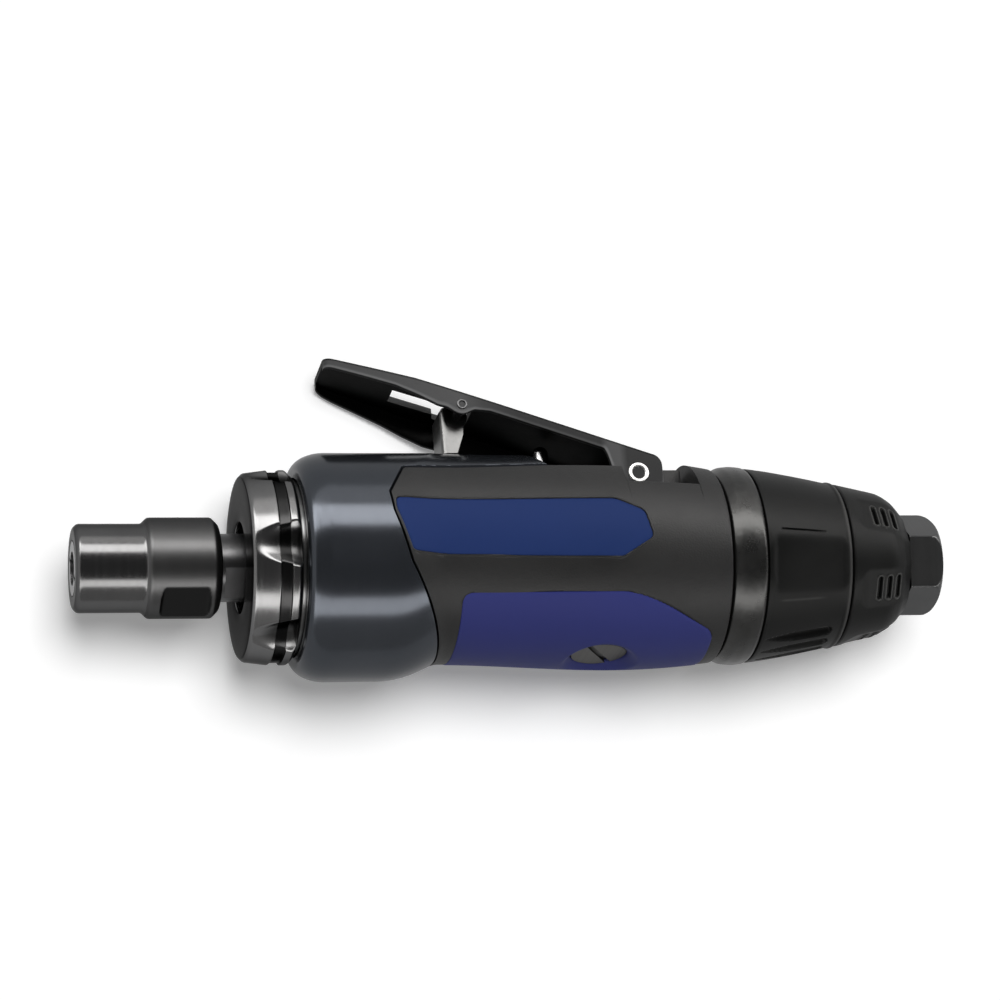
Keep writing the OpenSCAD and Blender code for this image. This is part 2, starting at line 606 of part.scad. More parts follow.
// Throttle valve: a spring-closed poppet whose stem stands under the lever
stem_r = stem_d / 2;
poppet_r = chamber_r - 0.6;
poppet_top = seat_z - 0.1;
poppet_t = 2.2;
bush_top = deck_z;
seal_z = 11;
valve_seal_r = 0.6;
module valve_bush() color("goldenrod") difference() {
  union() {
    post(valve_x, seat_z, bush_top, bush_r);
    post(valve_x, bush_top - bush_flange_t, bush_top, bush_flange_r);
  }
  post(valve_x, seat_z - 1, seal_z - 2, stem_r + 1.1);
  post(valve_x, 0, far, stem_r + run_gap);
  translate([valve_x, 0, seal_z]) rotate_extrude() translate([stem_r + run_gap + valve_seal_r, 0]) circle(valve_seal_r + 0.05, $fn = 32);
  translate([0, 0, gallery_z]) rod(valve_x - far, valve_x, 1.6);
}
module valve_stem() color("silver") {
  post(valve_x, poppet_top - 0.5, stem_top - stem_r, stem_r);
  translate([valve_x, 0, stem_top - stem_r]) sphere(stem_r);
  post(valve_x, poppet_top - poppet_t, poppet_top, poppet_r);
}
module valve_seal() color("black") translate([valve_x, 0, seal_z])
  rotate_extrude() translate([stem_r + run_gap + valve_seal_r, 0]) circle(valve_seal_r, $fn = 32);
valve_turns = 5;
valve_wire_r = valve_wire_d / 2;
valve_coil_r = poppet_r - valve_wire_r - 0.2;
valve_spring_z0 = chamber_z + valve_wire_r;
valve_pitch = (poppet_top - poppet_t - valve_wire_r - valve_spring_z0) / valve_turns;
valve_path = coil(valve_coil_r, valve_pitch, valve_turns);
echo(valve_spring_self_gap = self_gap(valve_path, valve_wire_r));
module valve_spring() color("silver") translate([valve_x, 0, valve_spring_z0]) wire(valve_path, valve_wire_r);

// Air regulator: a slotted plug across the inlet passage
regulator_seal_z = -6;
regulator_seal_r = 0.7;
head_slot_w = 1.1;
head_slot_turn = 58;
module regulator() color("gray") difference() {
  union() {
    post(regulator_x, head_z, head_top_z, head_r);
    post(regulator_x, head_top_z - 0.5, plug_top, regulator_r);
  }
  translate([regulator_x, 0, head_z]) rotate(head_slot_turn) translate([-far, -head_slot_w / 2, -1]) cube([2 * far, head_slot_w, 2.1]);
  rod(regulator_x - far, regulator_x + far, passage_r - 0.3);
  translate([regulator_x, 0, retain_z]) rotate_extrude() translate([retain_groove, -retain_r - run_gap])
    square([far, 2 * (retain_r + run_gap)]);
  translate([regulator_x, 0, regulator_seal_z]) rotate_extrude() translate([regulator_r - regulator_seal_r, 0])
    circle(regulator_seal_r + 0.05, $fn = 32);
}
module regulator_seal() color("black") translate([regulator_x, 0, regulator_seal_z])
  rotate_extrude() translate([regulator_r - regulator_seal_r, 0]) circle(regulator_seal_r, $fn = 32);
module regulator_pin() color("silver") axle(retain_x, retain_z, 11, retain_r);

// Exhaust end: satin ring, fluted sleeve, silencer and a deflector that turns on the inlet
ring_out_r = exhaust_ring_d / 2;
sleeve_front_r = ring_out_r - 0.4;
sleeve_end_r = sleeve_end_d / 2;
sleeve_rear_wall = 2;
module exhaust_ring() color("#222224") turned([[grip_end + 0.4, neck_r], [grip_end + 0.4, ring_out_r - 1.1],
  [grip_end + 2.2, ring_out_r - 0.2], [grip_end + 4.4, ring_out_r], [sleeve_x - 0.5, ring_out_r - 0.2],
  [sleeve_x, ring_out_r - 0.6], [sleeve_x, neck_r]]);

flute_x0 = sleeve_x + 3;
flute_x1 = deflector_x - 2.8;
flute_r = 1.1;
flutes = 4;
flute_step = 13;
function sleeve_r(x) = sleeve_front_r - (sleeve_front_r - sleeve_end_r) * pow((x - sleeve_x) / sleeve_len, 1.25);
sleeve_steps = 8;
function sleeve_line(inset) = [for (i = [0:sleeve_steps]) let (x = sleeve_x + sleeve_len * i / sleeve_steps)
  [x, sleeve_r(x) - inset]];
flute_tilt = atan2(sleeve_r(flute_x0) - sleeve_r(flute_x1), flute_x1 - flute_x0);
module exhaust_sleeve() color("#1e1e20") difference() {
  turned(concat([[sleeve_x, 0]], sleeve_line(0), [[deflector_x, 0]]));
  difference() {
    turned(concat([[sleeve_x - 1, 0], [sleeve_x - 1, sleeve_front_r - sleeve_wall]], sleeve_line(sleeve_wall), [[deflector_x, 0]]));
    rod(deflector_x - sleeve_rear_wall, deflector_x + 1, far);
  }
  rod(deflector_x - far, deflector_x + 1, inlet_shank_r);
  around(6, 30) translate([0, 0, sleeve_end_r - 4.4]) rod(deflector_x - far / 2, deflector_x + 1, 1.6);
  // A grille of long flutes across the belly
  for (i = [0:flutes - 1]) rotate([flute_step * (i - (flutes - 1) / 2), 0, 0]) translate([flute_x0, 0, -sleeve_r(flute_x0)])
    rotate([0, -flute_tilt, 0]) rod(0, flute_x1 - flute_x0, flute_r);
}
module muffler() color("dimgray") tube(neck_end + 2.6, deflector_x - sleeve_rear_wall - 0.4, sleeve_end_r - sleeve_wall - 0.4, inlet_shank_r + 0.1);

deflector_front_r = sleeve_end_r - 0.2;
deflector_end = deflector_x + deflector_len;
hub_r = inlet_shank_r + 0.75;
vent_w = 1;
vent_pitch = 2;
function deflector_line(inset) = [[deflector_x + free_gap, deflector_front_r - inset],
  [deflector_x + 1.2, deflector_front_r + 0.1 - inset], [deflector_end - 4.4, deflector_front_r - 1.6 - inset],
  [deflector_end - 2.2, deflector_front_r - 3 - inset], [deflector_end - 0.7, deflector_front_r - 4.7 - inset],
  [deflector_end - inset / 2, deflector_front_r - 5.4 - inset]];
module exhaust_deflector() color("#1c1c1e") difference() {
  turned(concat([[deflector_x + free_gap, 0]], deflector_line(0), [[deflector_end, 0]]));
  difference() {
    turned(concat([[deflector_x, 0], [deflector_x, deflector_front_r - sleeve_wall]], deflector_line(sleeve_wall), [[deflector_end - sleeve_wall, 0]]));
    rod(deflector_x + 2, deflector_end, hub_r + 1.3);
  }
  rod(deflector_x - 1, deflector_end + 1, hub_r);
  around(6, 90 - vent_turn) for (i = [0:2])
    translate([deflector_end - 7.6 + vent_pitch * i, -2.4, deflector_front_r - 5]) cube([vent_w, 4.8, far]);
}
deflector_seal_x = deflector_x + 5;
deflector_seal_r = 0.7;
module deflector_seal() color("black") torus_x(deflector_seal_x, hub_r - deflector_seal_r - run_gap, deflector_seal_r);

washer_t = 0.4;
flange_t = 1.6;
screen_x = inlet_end - inlet_thread_len - 1.6;
screen_r = inlet_thread_d / 2 - 1.1;
hex_chamfer = 1.5;
module inlet_bushing() color("#2a2a2c") difference() {
  union() {
    rod(inlet_front + 0.3, hex_x + 1, inlet_shank_r);
    rod(neck_end + washer_t, neck_end + washer_t + flange_t, inlet_shank_r + 2);
    intersection() {
      rotate([-hex_turn, 0, 0]) translate([hex_x, 0, 0]) rotate([0, 90, 0])
        cylinder(h = inlet_hex_len, r = inlet_flats / 2 / cos(30), $fn = 6);
      turned([[hex_x - 1, 0], [hex_x - 1, inlet_flats], [inlet_end - hex_chamfer * 1.6, inlet_flats / 2 / cos(30) + 0.05],
        [inlet_end, inlet_flats / 2 - 0.5], [inlet_end, 0]]);
    }
  }
  rod(inlet_end - inlet_thread_len, inlet_end + 1, inlet_thread_d / 2);
  rod(screen_x, inlet_end, screen_r + run_gap);
  rod(inlet_front - 1, screen_x + 1, passage_r + 0.6);
  torus_x(deflector_seal_x, hub_r - deflector_seal_r - run_gap, deflector_seal_r + 0.05);
}
module inlet_washer() color("firebrick") tube(neck_end, neck_end + washer_t, inlet_shank_r + 1.8, inlet_shank_r);
module inlet_screen() color("goldenrod") difference() {
  rod(screen_x, screen_x + 0.8, screen_r);
  rod(screen_x - 1, screen_x + 2, 0.7);
  around(6) translate([0, 0, 2.2]) rod(screen_x - 1, screen_x + 2, 0.7);
}

lay() collet_nut();
lay() collet();
lay() rotor_spindle();
lay() rotor_vanes();
lay() spindle_seal();
lay() lock_ring();
lay() front_bearing_outer();
lay() front_bearing_inner();
lay() front_bearing_balls();
lay() front_end_plate();
lay() cylinder_liner();
lay() cylinder_pin();
lay() rear_end_plate();
lay() rear_bearing_outer();
lay() rear_bearing_inner();
lay() rear_bearing_balls();
lay() rear_gasket();
lay() housing();
lay() grip();
lay() badge_near();
lay() badge_far();
lay() belly_pad();
lay() throttle_lever();
lay() lever_pin();
lay() safety_lever();
lay() safety_pin();
lay() safety_spring();
lay() valve_bush();
lay() valve_stem();
lay() valve_seal();
lay() valve_spring();
lay() regulator();
lay() regulator_seal();
lay() regulator_pin();
lay() exhaust_ring();
lay() exhaust_sleeve();
lay() muffler();
lay() exhaust_deflector();
lay() deflector_seal();
lay() inlet_bushing();
lay() inlet_washer();
lay() inlet_screen();
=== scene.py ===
import math
import bmesh
import bpy
import numpy as np
from numpy import arange, array, clip, cos, hypot, interp, linspace, maximum, minimum, sin, sqrt, stack, where
from mathutils import Matrix, Vector


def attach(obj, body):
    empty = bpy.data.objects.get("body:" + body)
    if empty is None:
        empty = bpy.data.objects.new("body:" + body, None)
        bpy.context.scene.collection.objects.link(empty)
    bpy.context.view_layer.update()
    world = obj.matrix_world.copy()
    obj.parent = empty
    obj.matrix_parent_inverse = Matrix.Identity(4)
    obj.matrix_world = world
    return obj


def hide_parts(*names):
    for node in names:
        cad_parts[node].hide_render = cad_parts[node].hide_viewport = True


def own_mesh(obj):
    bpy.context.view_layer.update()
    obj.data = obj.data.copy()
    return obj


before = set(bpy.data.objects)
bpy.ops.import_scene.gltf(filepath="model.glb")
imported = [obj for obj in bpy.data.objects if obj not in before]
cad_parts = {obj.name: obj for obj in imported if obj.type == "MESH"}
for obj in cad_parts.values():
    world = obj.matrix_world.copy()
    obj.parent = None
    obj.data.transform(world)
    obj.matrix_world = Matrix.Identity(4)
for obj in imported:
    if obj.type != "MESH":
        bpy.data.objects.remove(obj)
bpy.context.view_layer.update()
print("frame loaded,", len(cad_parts), "solids")

# Tool axes in mm: x from the collet mouth to the air inlet, y away from the near badge, z towards the
# lever. An angle round the tool is 0 at the near badge and grows towards the lever.
mm = 0.001
fullTurn = 2 * math.pi
quarter = math.pi / 2
join = np.concatenate
rest = {"housingRadius": 21.55, "kneeHeight": 35.2, "leverHalfWidth": 9.0}
kneeReach = math.hypot(rest["kneeHeight"], rest["leverHalfWidth"])
lean = math.asin(rest["housingRadius"] / kneeReach) - math.atan2(rest["leverHalfWidth"], rest["kneeHeight"])
floorHeight = -rest["housingRadius"] * mm


# Bench metres: the tool turned on its side by a quarter turn and the lean
def toBench(x, y, z):
    x, y, z = np.broadcast_arrays(x, y, z)
    s, c = math.sin(lean), math.cos(lean)
    return stack([x, c * z - s * y, -c * y - s * z], -1) * mm


# A radius and an angle round the tool axis as bench metres
def roundTool(x, radius, angle):
    return toBench(x, -radius * cos(angle), radius * sin(angle))


# Even angles of a full turn, as one row
def turnsOf(count):
    return linspace(0, fullTurn, count, endpoint=False)[None, :]


# Smooth step: three t squared minus two t cubed between the two ends
def ease(low, high, value):
    t = clip((value - low) / (high - low), 0.0, 1.0)
    return t * t * (3.0 - 2.0 * t)


def blend(low, high, share):
    return low + (high - low) * share


# Softened smaller of two values, rounded over the width k
def softMin(a, b, k):
    h = clip(0.5 + 0.5 * (b - a) / k, 0.0, 1.0)
    return b + (a - b) * h - k * h * (1.0 - h)


def softMax(a, b, k):
    return -softMin(-a, -b, k)


# Drop of a quarter round at the share t of its way out; full below 1 keeps its end from standing upright
def roundOff(t, full=1.0):
    return 1 - sqrt(1 - clip(t, 0, 1) ** 2 * full)


# A bell and a parabola, both 1 in the middle
def bell(value, width):
    return np.exp(-(value / width) ** 2)


def hump(value, half):
    return clip(1 - (value / maximum(half, 1e-3)) ** 2, 0, 1)


# Height of a line of points at each place
def lineAt(x, line):
    return interp(x, *array(line).T)


def unit(vectors):
    return vectors / np.linalg.norm(vectors, axis=1, keepdims=True)


# Smallest turn between two angles
def turnFrom(angle, centre):
    return (angle - centre + math.pi) % fullTurn - math.pi


# Each corner of a closed outline becomes a parabola between two points trimmed back along its edges
def softCorners(points, radius, steps=5):
    points = np.asarray(points, float)
    back = np.roll(points, 1, 0) - points
    ahead = np.roll(points, -1, 0) - points
    backLen = np.linalg.norm(back, axis=1, keepdims=True)
    aheadLen = np.linalg.norm(ahead, axis=1, keepdims=True)
    trim = np.broadcast_to(np.reshape(radius, (-1, 1)), backLen.shape)
    trim = minimum(trim, 0.45 * minimum(backLen, aheadLen))
    a = points + back / backLen * trim
    b = points + ahead / aheadLen * trim
    t = linspace(0, 1, steps)[None, :, None]
    curve = (1 - t) ** 2 * a[:, None] + 2 * t * (1 - t) * points[:, None] + t ** 2 * b[:, None]
    flat = curve.reshape(-1, 2)
    keep = np.ones(len(flat), bool)
    keep[1:] = np.linalg.norm(np.diff(flat, axis=0), axis=1) > 1e-6
    return flat[keep]


# Extra points along a closed outline: no step is longer than the given one, or than 3 mm below a radius
def spaced(points, step, fromRadius=-math.inf):
    ends = join([points, points[:1]])
    lengths = np.linalg.norm(np.diff(ends, axis=0), axis=1)
    outer = minimum(ends[:-1, 1], ends[1:, 1]) > fromRadius
    counts = maximum(1, np.ceil(lengths / where(outer, step, 3.0)).astype(int))
    place = join([i + arange(n) / n for i, n in enumerate(counts)])
    return stack([interp(place, arange(len(ends)), ends[:, i]) for i in (0, 1)], -1)


def numbered(rows, cols):
    return arange(rows * cols).reshape(rows, cols)


def quads(a, b, c, d):
    return stack([a, b, c, d], -1)


# Quads between two rows of point numbers
def bridge(a, b):
    return quads(a[:-1], a[1:], b[1:], b[:-1])


# Quads of a grid of points whose rows are loops, with the last row joined to the first where asked for
def gridFaces(rows, cols, closed):
    index = numbered(rows, cols)
    if closed:
        index = join([index, index[:1]])
    index = join([index, index[:, :1]], 1)
    return quads(index[:-1, :-1], index[1:, :-1], index[1:, 1:], index[:-1, 1:]).reshape(-1, 4)


def addObject(name, data):
    thing = bpy.data.objects.new(name, data)
    bpy.context.scene.collection.objects.link(thing)
    return thing


# A piece from points and faces, with a mask on the points that paints light: above 0 a painted highlight,
# below 0 painted shade
def addPiece(name, points, faces, body, finish, stands=(), sharp=38, paintedLight=None):
    mesh = bpy.data.meshes.new(name)
    points = np.asarray(points, np.float32).reshape(-1, 3)
    mesh.vertices.add(len(points))
    mesh.vertices.foreach_set("co", points.ravel())
    mesh.loops.add(faces.size)
    mesh.loops.foreach_set("vertex_index", faces.astype(np.int32).ravel())
    mesh.polygons.add(len(faces))
    mesh.polygons.foreach_set("loop_start", arange(0, faces.size, faces.shape[1], dtype=np.int32))
    mesh.update(calc_edges=True)
    mesh.validate()
    if paintedLight is not None:
        mask = mesh.attributes.new("paintedLight", "FLOAT", "POINT")
        mask.data.foreach_set("value", np.asarray(paintedLight, np.float32).ravel())
    tidy = bmesh.new()
    tidy.from_mesh(mesh)
    bmesh.ops.remove_doubles(tidy, verts=tidy.verts, dist=2e-6)
    bmesh.ops.dissolve_degenerate(tidy, edges=tidy.edges, dist=1e-6)
    bmesh.ops.recalc_face_normals(tidy, faces=tidy.faces)
    tidy.to_mesh(mesh)
    tidy.free()
    mesh.polygons.foreach_set("use_smooth", np.ones(len(mesh.polygons), bool))
    mesh.set_sharp_from_angle(angle=math.radians(sharp))
    mesh.materials.append(finishes[finish])
    piece = addObject(name, mesh)
    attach(piece, body)
    if stands:
        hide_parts(*stands)
    return piece


# A piece from a grid of points
def addGrid(name, points, closed, body, finish, stands=(), paintedLight=None):
    return addPiece(name, points, gridFaces(*points.shape[:2], closed), body, finish, stands,
                    paintedLight=paintedLight)


# A closed [x, r] outline carried round the tool axis; shape may change the radius by place and angle
def addTurned(name, outline, steps, body, finish, stands, shape=None, paintedLight=None):
    angle = turnsOf(steps)
    x = outline[:, :1] + 0 * angle
    radius = outline[:, 1:] + 0 * angle
    if shape:
        radius = shape(x, radius, angle)
    mask = paintedLight(x, radius, angle) if paintedLight else None
    addGrid(name, roundTool(x, radius, angle), True, body, finish, stands, mask)


print("tools ready")


# Surface effects shared by the finishes: inputs of a node by label, linked when they come from another node
def setInputs(tree, node, values):
    for label, value in values.items():
        if hasattr(value, "is_linked"):
            tree.links.new(value, node.inputs[label])
        else:
            node.inputs[label].default_value = value


def addNode(tree, kind, values=None, **settings):
    node = tree.nodes.new("ShaderNode" + kind)
    for label, value in settings.items():
        setattr(node, label, value)
    setInputs(tree, node, values or {})
    return node.outputs


def addMath(tree, kind, a, b):
    return addNode(tree, "Math", {0: a, 1: b}, operation=kind)[0]


def addNoise(tree, vector, scale, detail, rough=0.55):
    values = {"Vector": vector, "Scale": scale, "Detail": detail, "Roughness": rough}
    return addNode(tree, "TexNoise", values)["Fac"]


def placeOn(tree):
    return addNode(tree, "TexCoord")["Object"]


# A node group with number sockets, its inputs ready to link from and its end to link to
def newGroup(name, inputs, *outputs):
    group = bpy.data.node_groups.new(name, "ShaderNodeTree")
    for label, value in inputs.items():
        socket = group.interface.new_socket(name=label, in_out="INPUT", socket_type="NodeSocketFloat")
        socket.default_value = value
    for label in outputs:
        group.interface.new_socket(name=label, in_out="OUTPUT", socket_type="NodeSocketFloat")
    given = group.nodes.new("NodeGroupInput").outputs
    return group, given, group.nodes.new("NodeGroupOutput")


# Moulded grain: a fine cell pattern with softer noise over it, as a height and a patchy mask
grainGroup, given, end = newGroup("mouldedGrain", {"Scale": 2600.0}, "Height", "Patches")
place = placeOn(grainGroup)
cells = addNode(grainGroup, "TexVoronoi", {"Vector": place, "Scale": given["Scale"]}, feature="SMOOTH_F1")
cells = addMath(grainGroup, "MULTIPLY", cells["Distance"], 0.7)
fine = addMath(grainGroup, "MULTIPLY", addNoise(grainGroup, place, given["Scale"], 2.0), 0.5)
height = addMath(grainGroup, "ADD", cells, fine)
setInputs(grainGroup, end, {"Height": height, "Patches": addNoise(grainGroup, place, 60.0, 4.0)})

# Lathe marks: noise squeezed along the tool so that it runs round it, with a coarse patch mask
turningGroup, given, end = newGroup("latheMarks", {"Lines": 2400.0}, "Lines", "Patches")
place = placeOn(turningGroup)
squeezed = addNode(turningGroup, "Mapping", {"Vector": place, "Scale": (1.0, 0.012, 0.012)})["Vector"]
lines = addNoise(turningGroup, squeezed, given["Lines"], 4.0)
setInputs(turningGroup, end, {"Lines": lines, "Patches": addNoise(turningGroup, place, 90.0, 5.0, 0.6)})

# Handling marks: cloudy smudges
handlingGroup, given, end = newGroup("handlingMarks", {}, "Smudges")
smudges = addNoise(handlingGroup, placeOn(handlingGroup), 140.0, 5.0, 0.65)
setInputs(handlingGroup, end, {"Smudges": smudges})


# A mask turned into a span of values
def spanOf(tree, mask, low, high):
    span = {"Value": mask, "From Min": 0.3, "From Max": 0.7, "To Min": low, "To Max": high}
    return addNode(tree, "MapRange", span)["Result"]


# A mask turned into a blend of two colours
def colourOf(tree, mask, dark, light):
    node = tree.nodes.new("ShaderNodeValToRGB")
    for element, position, colour in zip(node.color_ramp.elements, (0.3, 0.7), (dark, light)):
        element.position = position
        element.color = (*colour, 1.0)
    tree.links.new(mask, node.inputs["Fac"])
    return node.outputs["Color"]


# A colour taken towards another one where a mask says so
def tinted(tree, colour, mask, other):
    return addNode(tree, "Mix", {"Factor": mask, "A": colour, "B": (*other, 1.0)},
                   data_type="RGBA")["Result"]


# A colour made lighter where the mesh's mask paints a highlight, and darker towards near black where it
# paints shade
def withPaintedLight(tree, colour, highlight):
    mask = addNode(tree, "Attribute", attribute_name="paintedLight")["Fac"]
    light = addMath(tree, "MAXIMUM", mask, 0.0)
    dark = addMath(tree, "MAXIMUM", addMath(tree, "MULTIPLY", mask, -1.0), 0.0)
    return tinted(tree, tinted(tree, colour, light, highlight), dark, (0.0004, 0.0004, 0.0004))


# Where the object lies between two planes across the tool, in metres
def between(tree, low, high):
    along = addNode(tree, "SeparateXYZ", {"Vector": placeOn(tree)})["X"]
    past = addMath(tree, "GREATER_THAN", along, low)
    return addMath(tree, "MULTIPLY", past, addMath(tree, "LESS_THAN", along, high))


finishes = {}


def newFinish(name):
    finishes[name] = bpy.data.materials.new(name)
    finishes[name].use_nodes = True
    return finishes[name].node_tree


# The last step of a finish: rim is the brightness of its grazing reflections
def settle(tree, colour, gloss, height, depth, metallic, specular, rim=1.0):
    bump = addNode(tree, "Bump", {"Strength": 1.0, "Distance": depth, "Height": height})["Normal"]
    setInputs(tree, tree.nodes["Principled BSDF"], {
        "Base Color": colour, "Roughness": gloss, "Normal": bump, "Metallic": metallic,
        "Specular IOR Level": specular, "Specular Tint": (rim, rim, rim, 1.0)})


# Turned or ground metal: lathe lines in the height and the gloss, patches in the colour. A dull zone is
# two distances along the tool; a dim one also has its share of the colour
def turnedMetal(name, dark, light, rough, lines=2400.0, depth=0.000004, metallic=1.0, spread=0.03, rim=1.0,
                dull=None, dim=(), highlight=None):
    tree = newFinish(name)
    marks = addNode(tree, "Group", {"Lines": lines}, node_tree=turningGroup)
    colour = colourOf(tree, marks["Patches"], dark, light)
    for low, high, share in dim:
        colour = tinted(tree, colour, between(tree, low, high), tuple(share * c for c in dark))
    if highlight:
        colour = withPaintedLight(tree, colour, highlight)
    gloss = spanOf(tree, marks["Lines"], rough - spread, rough + spread)
    if dull:
        gloss = addMath(tree, "ADD", gloss, addMath(tree, "MULTIPLY", between(tree, *dull), 0.16))
    settle(tree, colour, gloss, marks["Lines"], depth, metallic, 0.5, rim)


# Moulding or paint: grain in the height, its patches or smudges in the colour and the gloss
def coated(name, dark, light, rough, scale, depth, specular=0.5, metallic=0.0, highlight=None, smudged=False):
    tree = newFinish(name)
    grain = addNode(tree, "Group", {"Scale": scale}, node_tree=grainGroup)
    mask = addNode(tree, "Group", node_tree=handlingGroup)["Smudges"] if smudged else grain["Patches"]
    colour = colourOf(tree, mask, dark, light)
    if highlight:
        colour = withPaintedLight(tree, colour, highlight)
    gloss = spanOf(tree, mask, rough - 0.04, rough + 0.06)
    settle(tree, colour, gloss, grain["Height"], depth, metallic, specular)


# Plated or satin metal, smudged
def plated(name, dark, light, rough, metallic=1.0, depth=0.00001):
    coated(name, dark, light, rough, 900.0, depth, metallic=metallic, smudged=True)


turnedMetal("nutSteel", (0.115, 0.115, 0.116), (0.135, 0.135, 0.136), 0.2, rim=0.4, dull=(0.0132, 0.03),
            dim=[(0.0132, 0.03, 0.75)], highlight=(0.16, 0.16, 0.161))
turnedMetal("colletSteel", (0.24, 0.24, 0.245), (0.31, 0.31, 0.315), 0.26)
turnedMetal("spindleSteel", (0.075, 0.075, 0.077), (0.11, 0.11, 0.112), 0.32)
# The band on the ring's front face is painted shade; the other band makes the groove behind the front land
# darker
turnedMetal("ringBlack", (0.165, 0.165, 0.166), (0.195, 0.195, 0.196), 0.22, 1500.0, 0.000003, rim=0.3,
            dim=[(0.03625, 0.03845, 0.2), (0.031, 0.0313, 0.36)], highlight=(0.2, 0.2, 0.2))
turnedMetal("gunmetal", (0.054, 0.060, 0.070), (0.061, 0.067, 0.078), 0.19, 700.0, 0.0000005, 0.78, 0.012,
            0.75)
turnedMetal("pinSteel", (0.30, 0.30, 0.305), (0.38, 0.38, 0.385), 0.22)
turnedMetal("bushBrass", (0.52, 0.36, 0.13), (0.62, 0.44, 0.18), 0.3)
turnedMetal("regulatorSteel", (0.040, 0.039, 0.036), (0.060, 0.058, 0.054), 0.42)
turnedMetal("inletBlack", (0.085, 0.086, 0.087), (0.105, 0.106, 0.107), 0.33)
turnedMetal("innerGrey", (0.30, 0.30, 0.31), (0.38, 0.38, 0.39), 0.38)
coated("gripBlack", (0.0033, 0.0033, 0.0034), (0.0049, 0.0049, 0.0050), 0.5, 3000.0, 0.00003, 0.39,
       highlight=(0.02, 0.02, 0.02))
coated("badgeBlue", (0.0150, 0.0320, 0.118), (0.0165, 0.0345, 0.128), 0.55, 5200.0, 0.000003, 0.04)
coated("padBlue", (0.0245, 0.0305, 0.152), (0.0270, 0.0335, 0.166), 0.6, 4200.0, 0.00001, 0.14)
coated("sealRubber", (0.006, 0.006, 0.006), (0.009, 0.009, 0.009), 0.6, 2600.0, 0.00001)
coated("exhaustBlack", (0.0026, 0.0028, 0.0027), (0.0040, 0.0042, 0.0041), 0.44, 2200.0, 0.00001, 0.17,
       highlight=(0.06, 0.06, 0.058))
coated("feltGrey", (0.20, 0.19, 0.17), (0.30, 0.28, 0.25), 0.9, 1200.0, 0.00008)
coated("vaneBrown", (0.16, 0.085, 0.04), (0.20, 0.11, 0.055), 0.55, 2000.0, 0.00001)
coated("leverBlack", (0.0006, 0.0006, 0.0006), (0.0010, 0.0010, 0.0010), 0.4, 1600.0, 0.000012, 0.035,
       highlight=(0.15, 0.15, 0.151), smudged=True)
plated("tabZinc", (0.12, 0.12, 0.119), (0.18, 0.18, 0.178), 0.3)
plated("axleSteel", (0.62, 0.62, 0.61), (0.74, 0.74, 0.73), 0.42)
plated("springWire", (0.32, 0.32, 0.33), (0.42, 0.42, 0.43), 0.3)
plated("ringSatin", (0.044, 0.044, 0.043), (0.064, 0.064, 0.063), 0.29, 0.9, 0.00002)
print("finishes made,", len(finishes))

# Solids that keep their own shape get their finish here
keptSolids = {
    "colletSteel": "collet", "spindleSteel": "rotor_spindle", "vaneBrown": "rotor_vanes",
    "feltGrey": "spindle_seal rear_gasket muffler",
    "innerGrey": "front_end_plate cylinder_liner rear_end_plate",
    "pinSteel": "front_bearing_outer front_bearing_inner front_bearing_balls rear_bearing_outer "
                "rear_bearing_inner rear_bearing_balls cylinder_pin valve_stem regulator_pin",
    "bushBrass": "valve_bush inlet_screen",
    "sealRubber": "valve_seal regulator_seal deflector_seal inlet_washer",
    "regulatorSteel": "regulator",
}
for finish, nodes in keptSolids.items():
    for node in nodes.split():
        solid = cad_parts[node].data
        solid.materials.clear()
        solid.materials.append(finishes[finish])
print("solids dressed")


# Painted shade of a turned piece: places cut below its lands are painted darker
def shadeBelow(piece):
    def paintedLight(x, radius, angle):
        band = (x > piece["shadeFrom"]) & (x < piece["shadeTo"]) & (radius > piece["shadeR"])
        return where(band, -piece["dark"] * ease(*piece["below"], piece["landR"] - radius), 0)
    return paintedLight


# Turn from the nearest of some even places round the tool
def fromNearest(angle, first, count):
    step = fullTurn / count
    return turnFrom((angle - first + step / 2) % step, step / 2)


# Collet nut: a turned two-step sleeve with a pair of wrench flats that run out in curves
nut = {"flats": 17.0, "flatFrom": 15.4, "flatTo": 25.2, "runOut": 1.1, "turn": math.radians(-69),
       "shadeFrom": 14.6, "shadeTo": 25.6, "shadeR": 8.2, "landR": 9.45, "below": (0.01, 0.12), "dark": 0.72,
       "steps": 400,
       "outline": [[0, 5.135], [0, 7.5], [0.8, 8.3], [12.7, 8.3], [13.9, 9.45], [25.7, 9.45], [27, 8.15],
                   [27, 5.56], [2.28, 5.56], [1.6, 5.135]]}


def nutShape(x, radius, angle):
    side = abs(turnFrom(angle, nut["turn"]))
    side = minimum(side, math.pi - side)
    start = maximum(nut["flatFrom"] + nut["runOut"] - x, 0) + maximum(x - nut["flatTo"] + nut["runOut"], 0)
    plane = nut["flats"] / 2 + start ** 2 / nut["runOut"]
    return softMin(radius, plane / maximum(cos(side), 0.2), 0.08)


outline = spaced(softCorners(nut["outline"], 0.4), 0.2, 7.3)
# The wrench flats below the nut's land get painted shade
addTurned("nut_body", outline, nut["steps"], "nut", "nutSteel", ("collet_nut",), nutShape,
          shadeBelow(nut))

# Lock ring: stepped black ring with six scooped spanner notches that deepen to the rear
ring = {"notches": 6, "first": math.radians(-6), "cutter": 6.5, "frontX": 31.8, "frontR": 24.1,
        "rearX": 40.4, "rearR": 22.4, "uncut": 40.0, "hubR": 16.6, "floorR": 14.0, "shadeFrom": 32,
        "shadeTo": 40.3, "shadeR": 13.9, "landR": 17.6, "below": (0.1, 0.8), "dark": 0.7, "steps": 696,
        "outline": [[31.2, 8.6], [31.2, 17], [31.9, 17.7], [36.2, 18.25], [36.35, 17.85], [38.35, 17.85],
                    [38.5, 18.3], [39.7, 18.3], [40.4, 17.6], [40.4, 16.5], [46.0, 16.5], [46.0, 12.3],
                    [33.6, 12.3], [33.6, 8.6]]}


